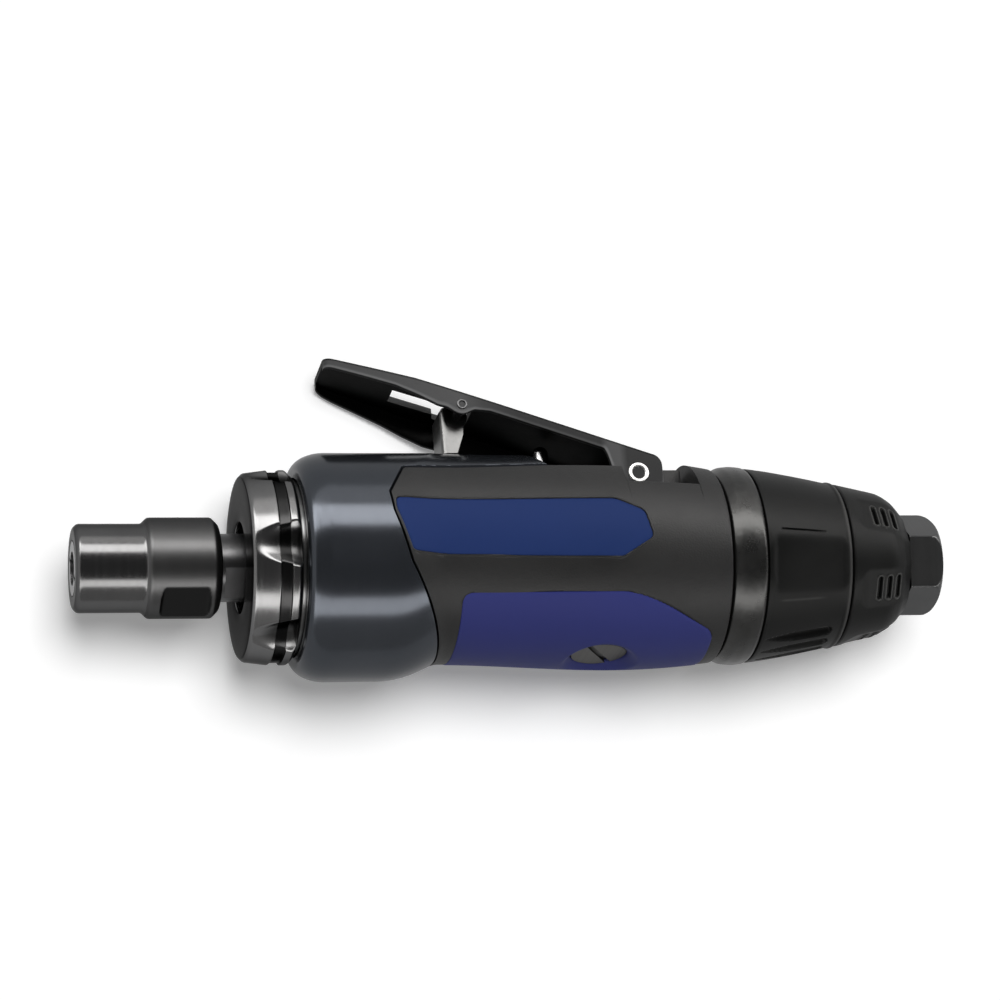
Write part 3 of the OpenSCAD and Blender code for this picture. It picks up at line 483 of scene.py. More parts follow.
# Notch wall: the near crossing of a ray from the tool axis with the cutter's circle
def ringShape(x, radius, angle):
    step = fullTurn / ring["notches"]
    side = turnFrom((angle - ring["first"]) % step, 0.0)
    side = minimum(side % step, step - side % step)
    deepening = (ring["rearR"] - ring["frontR"]) * (x - ring["frontX"]) / (ring["rearX"] - ring["frontX"])
    centre = ring["frontR"] + deepening
    reach = ring["cutter"] ** 2 - (centre * sin(side)) ** 2
    wall = where(reach > 0, centre * cos(side) - sqrt(maximum(reach, 0)), ring["uncut"])
    wall = where(x > ring["rearX"] - 0.01, ring["uncut"], wall)
    return where(radius > ring["hubR"], maximum(softMin(radius, wall, 0.4), ring["floorR"]), radius)


outline = spaced(softCorners(ring["outline"], 0.28), 0.2, 15.5)
# The notches below the ring's lands get painted shade
addTurned("ring_body", outline, ring["steps"], "body", "ringBlack", ("lock_ring",), ringShape,
          shadeBelow(ring))
print("nose pieces made")

# Handle: one outer form shared by the housing, the grip, the badges and the pad
handle = {"front": 41.3, "round": 6.0, "drop": 3.4, "barrelEnd": 57.0, "taperEnd": 68.3, "flare": 55.5,
          "flareR": 21.45, "waist": 72.3, "waistR": 19.95, "swell": 98.1, "swellR": 20.4, "end": 122.1,
          "endR": 18.6, "rise": 2.0, "radius": 21.55, "wall": 2.2,
          "gripLine": [[60.55, 13.65], [57.05, 7.35], [57.45, 3.25], [60.25, -6.25], [67.35, -18.75],
                       [67.35, -60], [123, -60], [123, 60], [117.5, 60], [117.5, 10.6], [103.0, 10.6],
                       [103.0, 15.0], [88.9, 15.0]]}
handle["tilt"] = handle["rise"] / (handle["end"] - handle["barrelEnd"])
badge = {"line": [[57.75, 6.2], [99.8, 6.4], [105.2, 3.8], [106.5, -1.7], [100.4, -5.5], [60.3, -4.55],
                  [57.72, 3.4]],
         "sunk": 0.16, "rim": 0.7, "middleFrom": 63, "middleTo": 100, "middleZ": 0.5, "depth": -1.0}
pad = {"line": [[70.1, -11.0], [102.3, -11.2], [108.9, -13.1], [116.1, -15.8], [118.5, -16.5],
                [119.35, -17.4]],
       "round": [2.2, 4.0, 4.0, 3.0, 1.6, 0.5], "hole": 7.0, "holeX": 98.9, "cut": 7.3, "proud": 0.1,
       "flatR": 19.5}


# Grip radius along the tool: square laws before the waist and after the swell, a smooth step between them
def gripRadius(x):
    h = handle
    before = blend(h["waistR"], h["flareR"], ((h["waist"] - x) / (h["waist"] - h["flare"])) ** 2)
    middle = blend(h["waistR"], h["swellR"], ease(h["waist"], h["swell"], x))
    after = h["swellR"] - (h["swellR"] - h["endR"]) * ((x - h["swell"]) / (h["end"] - h["swell"])) ** 2
    return where(x < h["waist"], before, where(x < h["swell"], middle, after))


# Outer form: the larger of the rounded, tapering barrel and the grip's circle about its tilted axis
def handleRadius(x, angle):
    h = handle
    barrel = h["radius"] - h["drop"] * roundOff((h["front"] + h["round"] - x) / h["round"])
    trail = clip((x - h["barrelEnd"]) / (h["taperEnd"] - h["barrelEnd"]), 0, 1.6)
    barrel = barrel - (h["radius"] - h["waistR"] + h["rise"]) * trail ** 2
    centre = (h["end"] - x) * h["tilt"]
    circle = gripRadius(maximum(x, h["flare"]))
    tilted = centre * sin(angle) + sqrt(maximum(circle ** 2 - (centre * cos(angle)) ** 2, 1.0))
    tilted = where(x < h["flare"], 0.0, softMin(tilted, h["radius"], 0.1))
    return minimum(softMax(barrel, tilted, 0.9), h["radius"])


# Angle round the tool of a point of the outer form at a given height
def angleAt(x, z):
    angle = np.zeros_like(x + z)
    for _ in range(8):
        angle = np.arcsin(clip(z / handleRadius(x, angle), -1, 1))
    return angle


# Distance to an outline in the side view, positive inside it
def insideBy(x, z, line):
    line = np.asarray(line, float)
    best = np.full(np.shape(x + z), 1e9)
    inside = np.zeros(np.shape(x + z), bool)
    for (ax, az), (bx, bz) in zip(line, np.roll(line, -1, 0)):
        dx, dz = bx - ax, bz - az
        t = clip(((x - ax) * dx + (z - az) * dz) / (dx * dx + dz * dz), 0, 1)
        best = minimum(best, hypot(x - ax - t * dx, z - az - t * dz))
        if az != bz:
            inside ^= ((az > z) != (bz > z)) & (x < ax + (z - az) * dx / dz)
    return where(inside, best, -best)


# Housing: the outer form, rolled down under the grip along the seam, cut flat for the deck and the lever
# pocket, and sunk round for the regulator below and the valve above
housing = {"sunk": 2.0, "seamFrom": -0.42, "seamTo": -0.06, "deckFrom": 84.0, "regulatorFloor": 15.0,
           "valveX": 91.2, "valveR": 5.0, "valveFloor": 13.6, "uncut": 99.0,
           "deck": [[84.7, 21.65], [88.9, 15.0], [102.98, 15.0], [103.0, 10.6], [119.4, 10.6],
                    [119.5, 15.0]],
           "mouth": [[46.4, 16.7], [41.9, 16.7], [41.36, 16.9], [41.3, 17.3]],
           "bore": [[121.8, 11.0], [46.4, 11.0]]}


def housingShape(x, angle):
    up = sin(angle)
    outer = handleRadius(x, angle)
    radius = outer - housing["sunk"] * ease(housing["seamFrom"], housing["seamTo"],
                                            insideBy(x, outer * up, handle["gripLine"]))
    flat = where(up > 0.1, lineAt(x, housing["deck"]) / maximum(up, 0.1), housing["uncut"])
    radius = where(x > housing["deckFrom"], softMin(radius, flat, 0.3), radius)
    across = where(up < 0, hypot(x - pad["holeX"], radius * cos(angle)), housing["uncut"])
    radius = where(across < pad["cut"], minimum(radius, housing["regulatorFloor"]), radius)
    across = where(up > 0, hypot(x - housing["valveX"], radius * cos(angle)), housing["uncut"])
    floor = housing["valveFloor"] / maximum(up, 0.3)
    return where(across < housing["valveR"], minimum(radius, floor), radius)


# Rows between two lines of places, one place for each angle
def rowsBetween(low, high, count):
    return blend(low, high, linspace(0, 1, count, endpoint=False)[:, None])


# The angles crowd at the deck's edges, and the rows bend with the grip's front edge to roll its rim smoothly
edgeTurns = np.radians(linspace(36.5, 49.5, 78))
around = turnsOf(400)[0]
around = around[abs(abs(around - quarter) - math.radians(47)) > math.radians(6.6)]
around = np.sort(join([around, edgeTurns, math.pi - edgeTurns]))[None, :]
flatRing = 0 * around
frontX, frontZ = array(handle["gripLine"][4::-1]).T
seam = interp(handle["radius"] * sin(around), frontZ, frontX)
for _ in range(6):
    seam = interp(handleRadius(seam, around) * sin(around), frontZ, frontX)
lead = handle["front"] + handle["round"] * (1 - cos(linspace(0.03, 1, 26) * quarter))
behind = join([linspace(69, 84, 20), linspace(84.4, 89.4, 14), linspace(90, 102.9, 18), [102.98, 103.02],
               linspace(103.6, 117, 12), [118.2, 119.38, 119.52, 121.8]])
along = join([lead[:, None] + flatRing, rowsBetween(48.3 + flatRing, seam - 0.66, 12),
              rowsBetween(seam - 0.66, seam + 0.06, 22), rowsBetween(seam + 0.06, 69 + flatRing, 14),
              behind[:, None] + flatRing])
mouth, bore = array(housing["mouth"]), array(housing["bore"])
xs = join([mouth[:, :1] + flatRing, along, bore[:, :1] + flatRing])
rs = join([mouth[:, 1:] + flatRing, housingShape(along, around), bore[:, 1:] + flatRing])
addGrid("housing_body", roundTool(xs, rs, around), True, "body", "gunmetal",
        ("housing",))

# Lever lug: a round-topped block across the pocket with the pin's hole through it and a flat heel behind
# the lever. Each row has its place across the tool and its depth under the outline, or 9 in the hole
lug = {"x": 107.9, "z": 15.7, "r": 3.0, "heel": 8.7, "heelTop": 1.2, "foot": 10.2, "hole": 2.02,
       "inHole": 9.0,
       "rows": [[-7.5, 9.0], [-7.5, 0.4], [-7.38, 0.12], [-7.1, 0.0], [7.1, 0.0], [7.38, 0.12], [7.5, 0.4],
                [7.5, 9.0]]}
lugTurns = turnsOf(480)
c, s = cos(lugTurns), sin(lugTurns)
reachDown = (lug["z"] - lug["foot"]) / maximum(-s, 1e-6)
reachSide = where(c > 0, lug["heel"], lug["r"]) / maximum(abs(c), 1e-6)
reachTop = where(c > 0, lug["heelTop"], 0.0) / maximum(s, 1e-6)
lugTop = maximum(lug["r"], softMin(reachTop, reachSide, 0.3))
lugReach = where(s > 0, lugTop, softMin(reachDown, reachSide, 0.3))
place, inset = array(lug["rows"]).T[:, :, None]
reach = where(inset == lug["inHole"], lug["hole"], lugReach - inset)
points = toBench(lug["x"] + reach * c, place + 0 * reach, lug["z"] + reach * s)
addGrid("lever_lug", points, True, "body", "gripBlack")
print("housing made")

# Grip: two half shells between the seam and the belly, rolled at their edges and sunk under the badges and
# the pad. Where a line passes the height called open, the shell runs on to the middle of the tool
grip = {"front": 57.05, "rear": 122.1, "edge": 0.4, "open": 20, "under": 1.1, "overHole": 4.0,
        "noEdge": 9.0, "steps": [67.3, 67.4, 102.95, 103.05, 117.45, 117.55],
        "top": [[57.05, 7.35], [60.55, 13.65], [88.9, 15.0], [102.95, 15.0], [103.05, 10.6], [117.45, 10.6],
                [117.55, 30.0]],
        "low": [[57.05, 7.3], [57.45, 3.25], [60.25, -6.25], [67.3, -18.7], [67.4, -30.0]],
        "kneeLow": math.radians(-52), "kneeTop": math.radians(14), "pocketMid": 110.25, "pocketHalf": 7.25}
ends = grip["edge"] * array([0, 0.06, 0.16, 0.32, 0.6, 1.0])
evenly = linspace(grip["front"] + grip["edge"] * 1.5, grip["rear"] - grip["edge"] * 1.5, 165)
xs = np.unique(join([grip["front"] + ends, evenly, grip["rear"] - ends, grip["steps"]]))
topZ, lowZ = lineAt(xs, grip["top"])[:, None], lineAt(xs, grip["low"])[:, None]
x = xs[:, None]
topAngle = where(topZ > grip["open"], quarter, angleAt(x, topZ))
lowAngle = where(lowZ < -grip["open"], -quarter, angleAt(x, lowZ))
span = topAngle - lowAngle
kneeLow = maximum(lowAngle + 0.15 * span, grip["kneeLow"])
kneeTop = maximum(kneeLow + 0.2 * span, minimum(grip["kneeTop"], topAngle - 0.15 * span))
edges = array([0, 0.004, 0.012, 0.024, 0.04])
angle = join([blend(lowAngle, kneeLow, join([edges, linspace(0.07, 0.98, 24)])),
              blend(kneeLow, kneeTop, linspace(0, 0.985, 56)),
              blend(kneeTop, topAngle, join([linspace(0, 0.93, 30), 1 - edges[::-1]]))], 1)
count = angle.shape[1]
outer = handleRadius(x, angle)
fromTop = where(topZ > grip["open"], grip["noEdge"], (topAngle - angle) * outer)
fromLow = where(lowZ < -grip["open"], grip["noEdge"], (angle - lowAngle) * outer)
fromEdge = minimum(minimum(fromTop, fromLow), grip["rear"] - x)
roll = grip["edge"] * roundOff(1 - fromEdge / grip["edge"])
z = outer * sin(angle)
padLine = softCorners([[70.1, -60.0]] + pad["line"] + [[119.4, -60.0]], [0.1] + pad["round"] + [0.1], 7)
under = maximum(grip["under"] * ease(0.05, 0.4, insideBy(x, z, badge["line"])),
                grip["under"] * ease(0.1, 0.5, insideBy(x, z, padLine)))
overHole = (hypot(x - pad["holeX"], outer * cos(angle)) < pad["cut"]) & (angle < 0)
skin = outer - roll - where(overHole, grip["overHole"], under)
shell = join([skin, (outer - handle["wall"])[:, ::-1]], 1)
turns = join([angle, angle[:, ::-1]], 1)
near = roundTool(x, shell, turns).reshape(-1, 3)
far = roundTool(x, shell, math.pi - turns).reshape(-1, 3)
# Painted shade on the end walls of the lever pocket
pocketEnds = abs(abs(x - grip["pocketMid"]) - grip["pocketHalf"]) < 0.2
shade = where(pocketEnds & (shell * sin(turns) > 10.3), -0.85, 0.0).ravel()
first = arange(count), arange(2 * count - 1, count - 1, -1)
last = [row + (len(xs) - 1) * 2 * count for row in first]
faces = join([gridFaces(len(xs), 2 * count, False), bridge(*first), bridge(*last)])
addPiece("grip_shell", join([near, far]), join([faces, faces + len(near)]), "body", "gripBlack",
         ("grip",), sharp=50, paintedLight=join([shade, shade]))
print("grip made")


# A flank point at a height over the outer form, on the near or the far side
def onFlank(x, z, lift, far):
    angle = angleAt(x, z)
    return roundTool(x, handleRadius(x, angle) + lift, math.pi - angle if far else angle)


# Outline moved inwards along its own normals
def movedIn(line, by):
    ahead = unit(np.roll(line, -1, 0) - np.roll(line, 1, 0))
    return line + by * stack([ahead[:, 1], -ahead[:, 0]], -1)


# Badge: rings from the bevelled rim to the middle line, and a rolled lip of the grip round it
edgeLine = spaced(softCorners(badge["line"], 1.1, 7), 0.4)
middleX = np.round(clip(edgeLine[:, 0], badge["middleFrom"], badge["middleTo"]) * 2) / 2
middle = stack([middleX, np.full(len(edgeLine), badge["middleZ"])], -1)
inward = movedIn(edgeLine, badge["rim"])
badgeRings = [(0.0, -1.0), (0.0, -0.42), (0.06, -0.3), (0.16, -0.22), (0.34, -badge["sunk"]),
              (0.7, -badge["sunk"])]
lipRings = [(-0.4, -0.3), (-0.38, -0.02), (-0.3, 0.02), (-0.18, 0.035), (-0.08, 0.02), (-0.01, -0.06),
            (0.03, -0.2), (0.04, -0.8), (-0.3, -0.8)]
inRings = [(blend(inward, middle, t), -badge["sunk"]) for t in (0.1, 0.25, 0.4, 0.55, 0.7, 0.85, 1.0)]
backRings = [(blend(inward, middle, t), badge["depth"]) for t in (1.0, 0.5)]
plate = backRings + [(movedIn(edgeLine, by), lift) for by, lift in badgeRings] + inRings
lip = [(movedIn(edgeLine, by), lift) for by, lift in lipRings]
for side, far in (("near", False), ("far", True)):
    points = stack([onFlank(*line.T, lift, far) for line, lift in plate])
    addGrid("badge_plate_" + side, points, False, "body", "badgeBlue", ("badge_" + side,))
    points = stack([onFlank(*line.T, lift, far) for line, lift in lip])
    addGrid("badge_lip_" + side, points, True, "body", "gripBlack")

# Belly pad: rings from the regulator hole to the rim on the unrolled belly, a little proud
upperX, upperZ = array(pad["line"]).T
upper = stack([upperX, (angleAt(upperX, upperZ) + quarter) * pad["flatR"]], -1)
padRim = softCorners(join([upper, upper[::-1] * [1, -1]]), pad["round"] + pad["round"][::-1], 9)
padRim = spaced(padRim, 0.35)
holeRim = unit(padRim - [pad["holeX"], 0])


def holeAt(r):
    return holeRim * r + [pad["holeX"], 0]


def onBelly(flatPoints, lift):
    angle = flatPoints[:, 1] / pad["flatR"] - quarter
    return roundTool(flatPoints[:, 0], handleRadius(flatPoints[:, 0], angle) + lift, angle)


holeRings = [(5.5, -3.2), (5.5, -1.75), (5.62, -1.55), (5.9, -1.25), (6.5, -0.62), (6.9, -0.22),
             (7.15, -0.02), (7.45, pad["proud"])]
inside = movedIn(padRim, 0.6)
rims = [(holeAt(r), lift) for r, lift in holeRings]
rims += [(holeAt(pad["hole"] + 0.8) * (1 - t) + inside * t, pad["proud"]) for t in linspace(0, 1, 22)]
rims += [(movedIn(padRim, 0.35), pad["proud"] - 0.02), (movedIn(padRim, 0.12), pad["proud"] - 0.1)]
rims += [(padRim, -0.25), (padRim, -1.2)]
points = stack([onBelly(place, lift) for place, lift in rims])
addGrid("pad_rubber", points, True, "body", "padBlue", ("belly_pad",))
print("badges and pad made")

# Exhaust ring, sleeve and deflector
outline = [[122.5, 14], [122.5, 17.9], [124.3, 18.9], [126.5, 19.1], [128.4, 18.9], [129, 18.4], [129, 14]]
outline = spaced(softCorners(outline, 0.5), 0.3)
addTurned("exhaust_band", outline, 256, "body", "ringSatin", ("exhaust_ring",))

sleeve = {"from": 129.1, "to": 146.5, "front": 18.7, "drop": 3.0, "reach": 17.6, "bore": 13.2, "steps": 600,
          "panelTurn": math.radians(-20), "panel": 0.7, "slit": math.radians(1.5), "slitHalf": 0.26,
          "slitDepth": 0.5, "lowerEdge": math.radians(-42), "rimX": 146.05, "glintWidth": 0.22, "flutes": 4,
          "step": math.radians(13), "fluteFrom": 130.2, "fluteTo": 143.8, "flute": 1.2, "fluteLead": 6.0,
          "fluteEnd": 1.3}


# Flutes: parabolic grooves across the belly, pointed in front and round at the rear
def flute(x, radius, angle):
    place = turnFrom(angle, -quarter) / sleeve["step"] + sleeve["flutes"] / 2 - 0.5
    nearest = clip(np.round(place), 0, sleeve["flutes"] - 1)
    arc = abs(place - nearest) * sleeve["step"] * radius
    gone = clip((x - sleeve["fluteFrom"]) / sleeve["fluteLead"], 0, 1)
    end = clip((sleeve["fluteTo"] - x) / sleeve["fluteEnd"], 0, 1)
    half = 1.12 * sleeve["flute"] * gone ** 0.6 * sqrt(1 - (1 - end) ** 2)
    return hump(arc, half) * where(half > 0.02, 1.15 * half, 0)


# Angle on the near flank, the far one folded onto it
def onNear(angle):
    return where(cos(angle) > 0, angle, math.pi - angle)


# Panels: a flat at its own distance from the axis on either flank, with a slit along the upper edge
def sleeveShape(x, radius, angle):
    flank = onNear(angle)
    side = turnFrom(flank, sleeve["panelTurn"])
    cut = radius - sleeve["panel"] * ease(129.6, 131.2, x) * ease(146.2, 144.6, x)
    shaped = where(abs(side) < 0.6, softMin(radius, cut / cos(side), 0.3), radius)
    slitHalf = sleeve["slitHalf"] * ease(131.3, 133, x) * clip((142.0 - x) / 6.0, 0, 1) ** 0.5
    slitArc = abs(turnFrom(flank, sleeve["slit"])) * radius
    shaped = shaped - sleeve["slitDepth"] * hump(slitArc, slitHalf) * (slitHalf > 0.02)
    return where(radius > 14.5, shaped - flute(x, radius, angle), radius)


# Painted highlight along the raised rear rim and the lower edge of the panel, and painted shade in the flutes
def sleevePaintedLight(x, radius, angle):
    lower = bell(turnFrom(onNear(angle), sleeve["lowerEdge"]) * radius, sleeve["glintWidth"])
    lower = lower * ease(131, 133, x) * ease(142, 139, x)
    highlight = maximum(0.75 * bell(x - sleeve["rimX"], sleeve["glintWidth"]), 0.35 * lower)
    return where(radius > 12.5, highlight - 0.9 * ease(0.1, 0.9, flute(x, radius, angle)), 0)


xs = join([sleeve["from"] + array([0, 0.15, 0.4, 0.8]), linspace(130.2, 145.4, 76),
           sleeve["to"] - array([0.9, 0.7, 0.5, 0.3, 0.12, 0])])
wall = sleeve["front"] - sleeve["drop"] * clip((xs - 129) / sleeve["reach"], 0, 1) ** 1.25
wall[:2] -= [0.45, 0.12]
wall[-6:] += [0.06, 0.2, 0.27, 0.26, 0.16, -0.15]
outline = join([stack([xs, wall], -1), [[sleeve["to"], sleeve["bore"]], [sleeve["from"], sleeve["bore"]]]])
addTurned("sleeve_body", outline, sleeve["steps"], "body", "exhaustBlack",
          ("exhaust_sleeve",), sleeveShape, sleevePaintedLight)

vents = {"groups": 6, "turn": math.radians(21), "slots": 3, "first": 152.6, "pitch": 2.0, "half": 1.9,
         "round": 0.42, "flat": 0.5, "lip": 0.2, "lipAt": 0.2, "lipWidth": 0.17, "sink": 0.9, "glintWidth": 0.15,
         "innerR": 9.5, "steps": 600,
         "outline": [[146.75, 9.0], [146.75, 15.3], [147.1, 15.72], [147.7, 15.62], [155.8, 13.9],
                     [158, 12.5], [159.5, 10.8], [160.2, 10.1], [160.2, 8.8]],
         "rounds": [0.1, 0.2, 0.3, 0.4, 1.2, 0.8, 0.8, 0.3, 0.2]}


# Vents: distance to the nearest pill outline gives a sunk slot with a raised lip
def ventGap(x, radius, angle):
    side = fromNearest(angle, vents["turn"], vents["groups"])
    slot = clip(np.round((x - vents["first"]) / vents["pitch"]), 0, vents["slots"] - 1)
    dx = x - vents["first"] - slot * vents["pitch"]
    return hypot(dx, maximum(abs(side) * radius - vents["half"], 0)) - vents["round"], side


def deflectorShape(x, radius, angle):
    gap, side = ventGap(x, radius, angle)
    cut = radius - vents["flat"] * ease(147.6, 150.5, x)
    shaped = softMin(radius, cut / cos(side), 0.12)
    lip = vents["lip"] * bell(gap - vents["lipAt"], vents["lipWidth"])
    sink = vents["sink"] * ease(0.06, -0.3, gap)
    return where((radius > vents["innerR"]) & (x > 146.8), shaped + lip - sink, radius)


# Painted highlight along the raised lips of the vents
def deflectorHighlights(x, radius, angle):
    gap, _ = ventGap(x, radius, angle)
    return where((radius > vents["innerR"]) & (x > 150), 0.85 * bell(gap - vents["lipAt"], vents["glintWidth"]), 0)


outline = spaced(softCorners(vents["outline"], vents["rounds"]), 0.13, 9.8)
addTurned("deflector_cap", outline, vents["steps"], "deflector", "exhaustBlack",
          ("exhaust_deflector",), deflectorShape, deflectorHighlights)

# Inlet bushing: hexagon with a coned rear corner and a cut pipe thread in its bore
inlet = {"flats": 17.0, "turn": math.radians(-16), "bore": 5.72, "pitch": 1.337, "depth": 0.4, "hexR": 8.05,
         "hexFrom": 160.2, "boreFrom": 155.4, "steps": 240,
         "outline": [[150, 3], [150, 8], [160.45, 8], [160.5, 9.86], [165.3, 9.86], [166.6, 9.3],
                     [167.3, 8.2], [167.3, 6.5], [166.6, 5.72], [155.3, 5.72], [155.3, 3]],
         "rounds": [0.1, 0.1, 0.1, 0.2, 0.7, 0.7, 0.6, 0.3, 0.1, 0.1, 0.1]}


def inletShape(x, radius, angle):
    side = fromNearest(angle, inlet["turn"], 6)
    hexed = softMin(radius, inlet["flats"] / 2 / cos(side), 0.1)
    turns = (x / inlet["pitch"] + angle / fullTurn) % 1.0
    ridge = inlet["depth"] * abs(2 * turns - 1)
    thread = radius + ridge * ease(166.6, 165.9, x) * ease(155.6, 156.2, x)
    inBore = (abs(radius - inlet["bore"]) < 0.05) & (x > inlet["boreFrom"])
    onHex = (radius > inlet["hexR"]) & (x > inlet["hexFrom"])
    return where(onHex, hexed, where(inBore, thread, radius))


outline = spaced(softCorners(inlet["outline"], inlet["rounds"]), 0.17)
addTurned("inlet_hex", outline, inlet["steps"], "body", "inletBlack", ("inlet_bushing",),
          inletShape)
print("exhaust end made")


# A round wire swept along a path of bench points, capped at both ends
def addWire(name, path, radius, body, node, sides=12):
    ahead = unit(np.gradient(path, axis=0))
    across = unit(np.cross(ahead, [0.31, 0.42, 0.85]))
    other = np.cross(ahead, across)
    turns = turnsOf(sides)[:, :, None]
    tube = path[:, None] + radius * mm * (across[:, None] * cos(turns) + other[:, None] * sin(turns))
    ends = np.broadcast_to(path[[0, -1]][:, None], (2, sides, 3))
    points = join([ends[:1], tube, ends[1:]])
    return addGrid(name, points, False, body, "springWire", (node,))


# Coil: a circle that climbs by one pitch in each turn
spring = {"turns": 4, "pitch": 1.0, "coil": 1.65, "wire": 0.27, "leg": 2.0, "x": 74.5, "z": 29.697}
turns = linspace(0, fullTurn * spring["turns"], 40 * spring["turns"])
climb = spring["pitch"] * turns / fullTurn
coil = stack([spring["coil"] * cos(turns), spring["coil"] * sin(turns), climb], -1)
legs = linspace(spring["leg"], 0.1, 8)[:, None] * [0, 1, 0]
coil = join([coil[0] - legs, coil, coil[-1] + legs[::-1]])
path = toBench(spring["x"] + coil[:, 0], spring["pitch"] * spring["turns"] / 2 - coil[:, 2],
               spring["z"] + coil[:, 1])
addWire("safety_coil", path, spring["wire"], "lever", "safety_spring")

valveSpring = {"turns": 5, "pitch": 1.46, "coil": 2.35, "wire": 0.36, "x": 91.2, "low": -8.65, "keep": 0.54}
turns = linspace(0, fullTurn * valveSpring["turns"], 40 * valveSpring["turns"])
path = toBench(valveSpring["x"] + valveSpring["coil"] * cos(turns), valveSpring["coil"] * sin(turns),
               valveSpring["low"] + valveSpring["pitch"] * turns / fullTurn)
coil = addWire("valve_coil", path, valveSpring["wire"], "body", "valve_spring")
seat = toBench(valveSpring["x"], 0.0, valveSpring["low"] - valveSpring["wire"])
tuple(toBench(0.0, 0.0, 1000.0))
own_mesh(coil)

# Lever: a folded channel swept along the tool. Its top is two lines with a soft knee, its sides deepen to
# an ear at the safety pin and to a larger ear at the pivot, and a slot is left open for the tab
lever = {"tip": 49.0, "tipZ": 40.75, "knee": 66.0, "kneeZ": 35.75, "rear": 112.7, "rearRound": 1.3,
         "earHeel": 2.4, "pivotX": 107.9, "pivotZ": 15.7, "overPin": 5.3, "half": 9.0, "tipHalf": 6.6,
         "tipRound": 1.7, "sheet": 1.2, "fold": 0.9, "foldIn": 0.35, "rim": 0.26, "rimIn": 0.07,
         "slot": (62.6, 77.5), "slotHalf": 4.5, "slotNarrow": 2.6, "slotStep": 71.15, "slotHighlight": 0.7,
         "earX": 74.5, "earLow": 27.9, "earRound": 1.7, "earBottom": 11.9, "earFront": 103.3,
         "earStart": 15.2, "upright": 0.98,
         "depth": [[49, 2.05], [56, 2.35], [62, 2.7], [70, 4.4], [73, 4.2], [76, 3.3], [80, 2.35],
                   [112.7, 2.35]],
         "depthFar": [[49, 2.05], [51.5, 2.85], [56, 3.45], [62, 4.25], [70, 5.85], [76, 5.65], [81, 4.75],
                      [89, 3.15], [97, 2.35], [112.7, 2.3]],
         "flankHighlight": [[49, 0.75], [60, 0.8], [74, 0.95], [79, 0.6], [86, 0.4], [101, 0.4], [102.5, 0.95],
                     [104.5, 0.95], [106, 0.42], [112.7, 0.42]]}
lever["slope"] = (lever["kneeZ"] - lever["pivotZ"] - lever["overPin"]) / (lever["pivotX"] - lever["knee"])


def leverTop(x):
    drop = (lever["tipZ"] - lever["kneeZ"]) * (x - lever["tip"]) / (lever["knee"] - lever["tip"])
    back = lever["kneeZ"] - lever["slope"] * (x - lever["knee"])
    past = (x - lever["rear"]) / lever["rearRound"] + 1
    return softMin(lever["tipZ"] - drop, back, 1.2) - lever["rearRound"] * roundOff(past, lever["upright"])


def leverLow(x, depth):
    low = leverTop(x) - lineAt(x, lever[depth])
    low = softMin(low, lever["earLow"] + (x - lever["earX"]) ** 2 / (2 * lever["earRound"]), 1.4)
    front = lever["earStart"] + where(x < lever["earFront"], 4.0, 3.2) * (lever["earFront"] - x)
    past = (x - lever["rear"]) / lever["earHeel"] + 1
    bottom = lever["earBottom"] + lever["earHeel"] * roundOff(past, lever["upright"])
    return softMin(low, softMax(front, bottom, 1.2), 1.8)


def leverHalf(x):
    half = interp(x, [lever["tip"], lever["knee"]], [lever["tipHalf"], lever["half"]])
    return half - lever["tipRound"] * roundOff((lever["tip"] + lever["tipRound"] - x) / lever["tipRound"])


tipRows = lever["tip"] + lever["tipRound"] * (1 - cos(linspace(0, 1, 12) * quarter))
rearRows = lever["rear"] - lever["earHeel"] * (1 - sin(linspace(0, 1, 12) * quarter))
xs = join([tipRows, arange(52.4, 62.5, 0.4), linspace(*lever["slot"], 38), arange(77.9, 98.9, 0.5),
           arange(99, 105.4, 0.16), arange(105.6, 110, 0.4), rearRows])
top, half = leverTop(xs)[:, None], leverHalf(xs)[:, None]
sheet, fold, foldIn, rim, rimIn = [lever[key] for key in ("sheet", "fold", "foldIn", "rim", "rimIn")]
slotHalf = where(xs[:, None] < lever["slotStep"], lever["slotNarrow"], lever["slotHalf"])
slotHalf = minimum(slotHalf, 0.6 * (half - fold))
bend = linspace(0, quarter, 7)[None, :]
spread = linspace(0, 1, 5)[None, :]
crowd = array([[0.0, 0.04, 0.3, 0.65, 1.0]])
ones = np.ones_like(spread)


# Half of the section as y and z: from the middle of the top round the fold, the rim and back under the sheet
def leverSide(depth):
    low = minimum(leverLow(xs, depth)[:, None], top - sheet - 0.28)
    turned = bend[:, 1:]
    steps = [
        (-slotHalf * spread, top * ones),
        (-slotHalf - (half - fold - slotHalf) * crowd[:, 1:], top * ones[:, 1:]),
        (fold - half - fold * sin(turned), top - fold * (1 - cos(turned))),
        (-half * ones, top - fold + (low + rim - top + fold) * linspace(0.2, 1, 5)),
        (-half + array([[rimIn, rim, sheet - rim, sheet - rimIn]]),
         low + array([[rimIn, 0.0, 0.0, rimIn]])),
        ((sheet - half) * ones, low + rim + (top - sheet - foldIn - low - rim) * spread),
        (sheet - half + foldIn * (1 - cos(turned)), top - sheet - foldIn * (1 - sin(turned))),
        (-slotHalf - (half - sheet - foldIn - slotHalf) * crowd[:, ::-1][:, 1:],
         (top - sheet) * ones[:, 1:]),
        (-slotHalf * spread[:, ::-1][:, 1:], (top - sheet) * ones[:, 1:]),
    ]
    return [join(parts, 1) for parts in zip(*steps)] + [low]


yNear, zNear, lowNear = leverSide("depth")
yFar, zFar, lowFar = leverSide("depthFar")
count = yNear.shape[1]
y = join([yNear, -yFar[:, ::-1]], 1)
z = join([zNear, zFar[:, ::-1]], 1)
low = np.repeat(join([lowNear, lowFar], 1), count, 1)
points = toBench(xs[:, None], y, z)

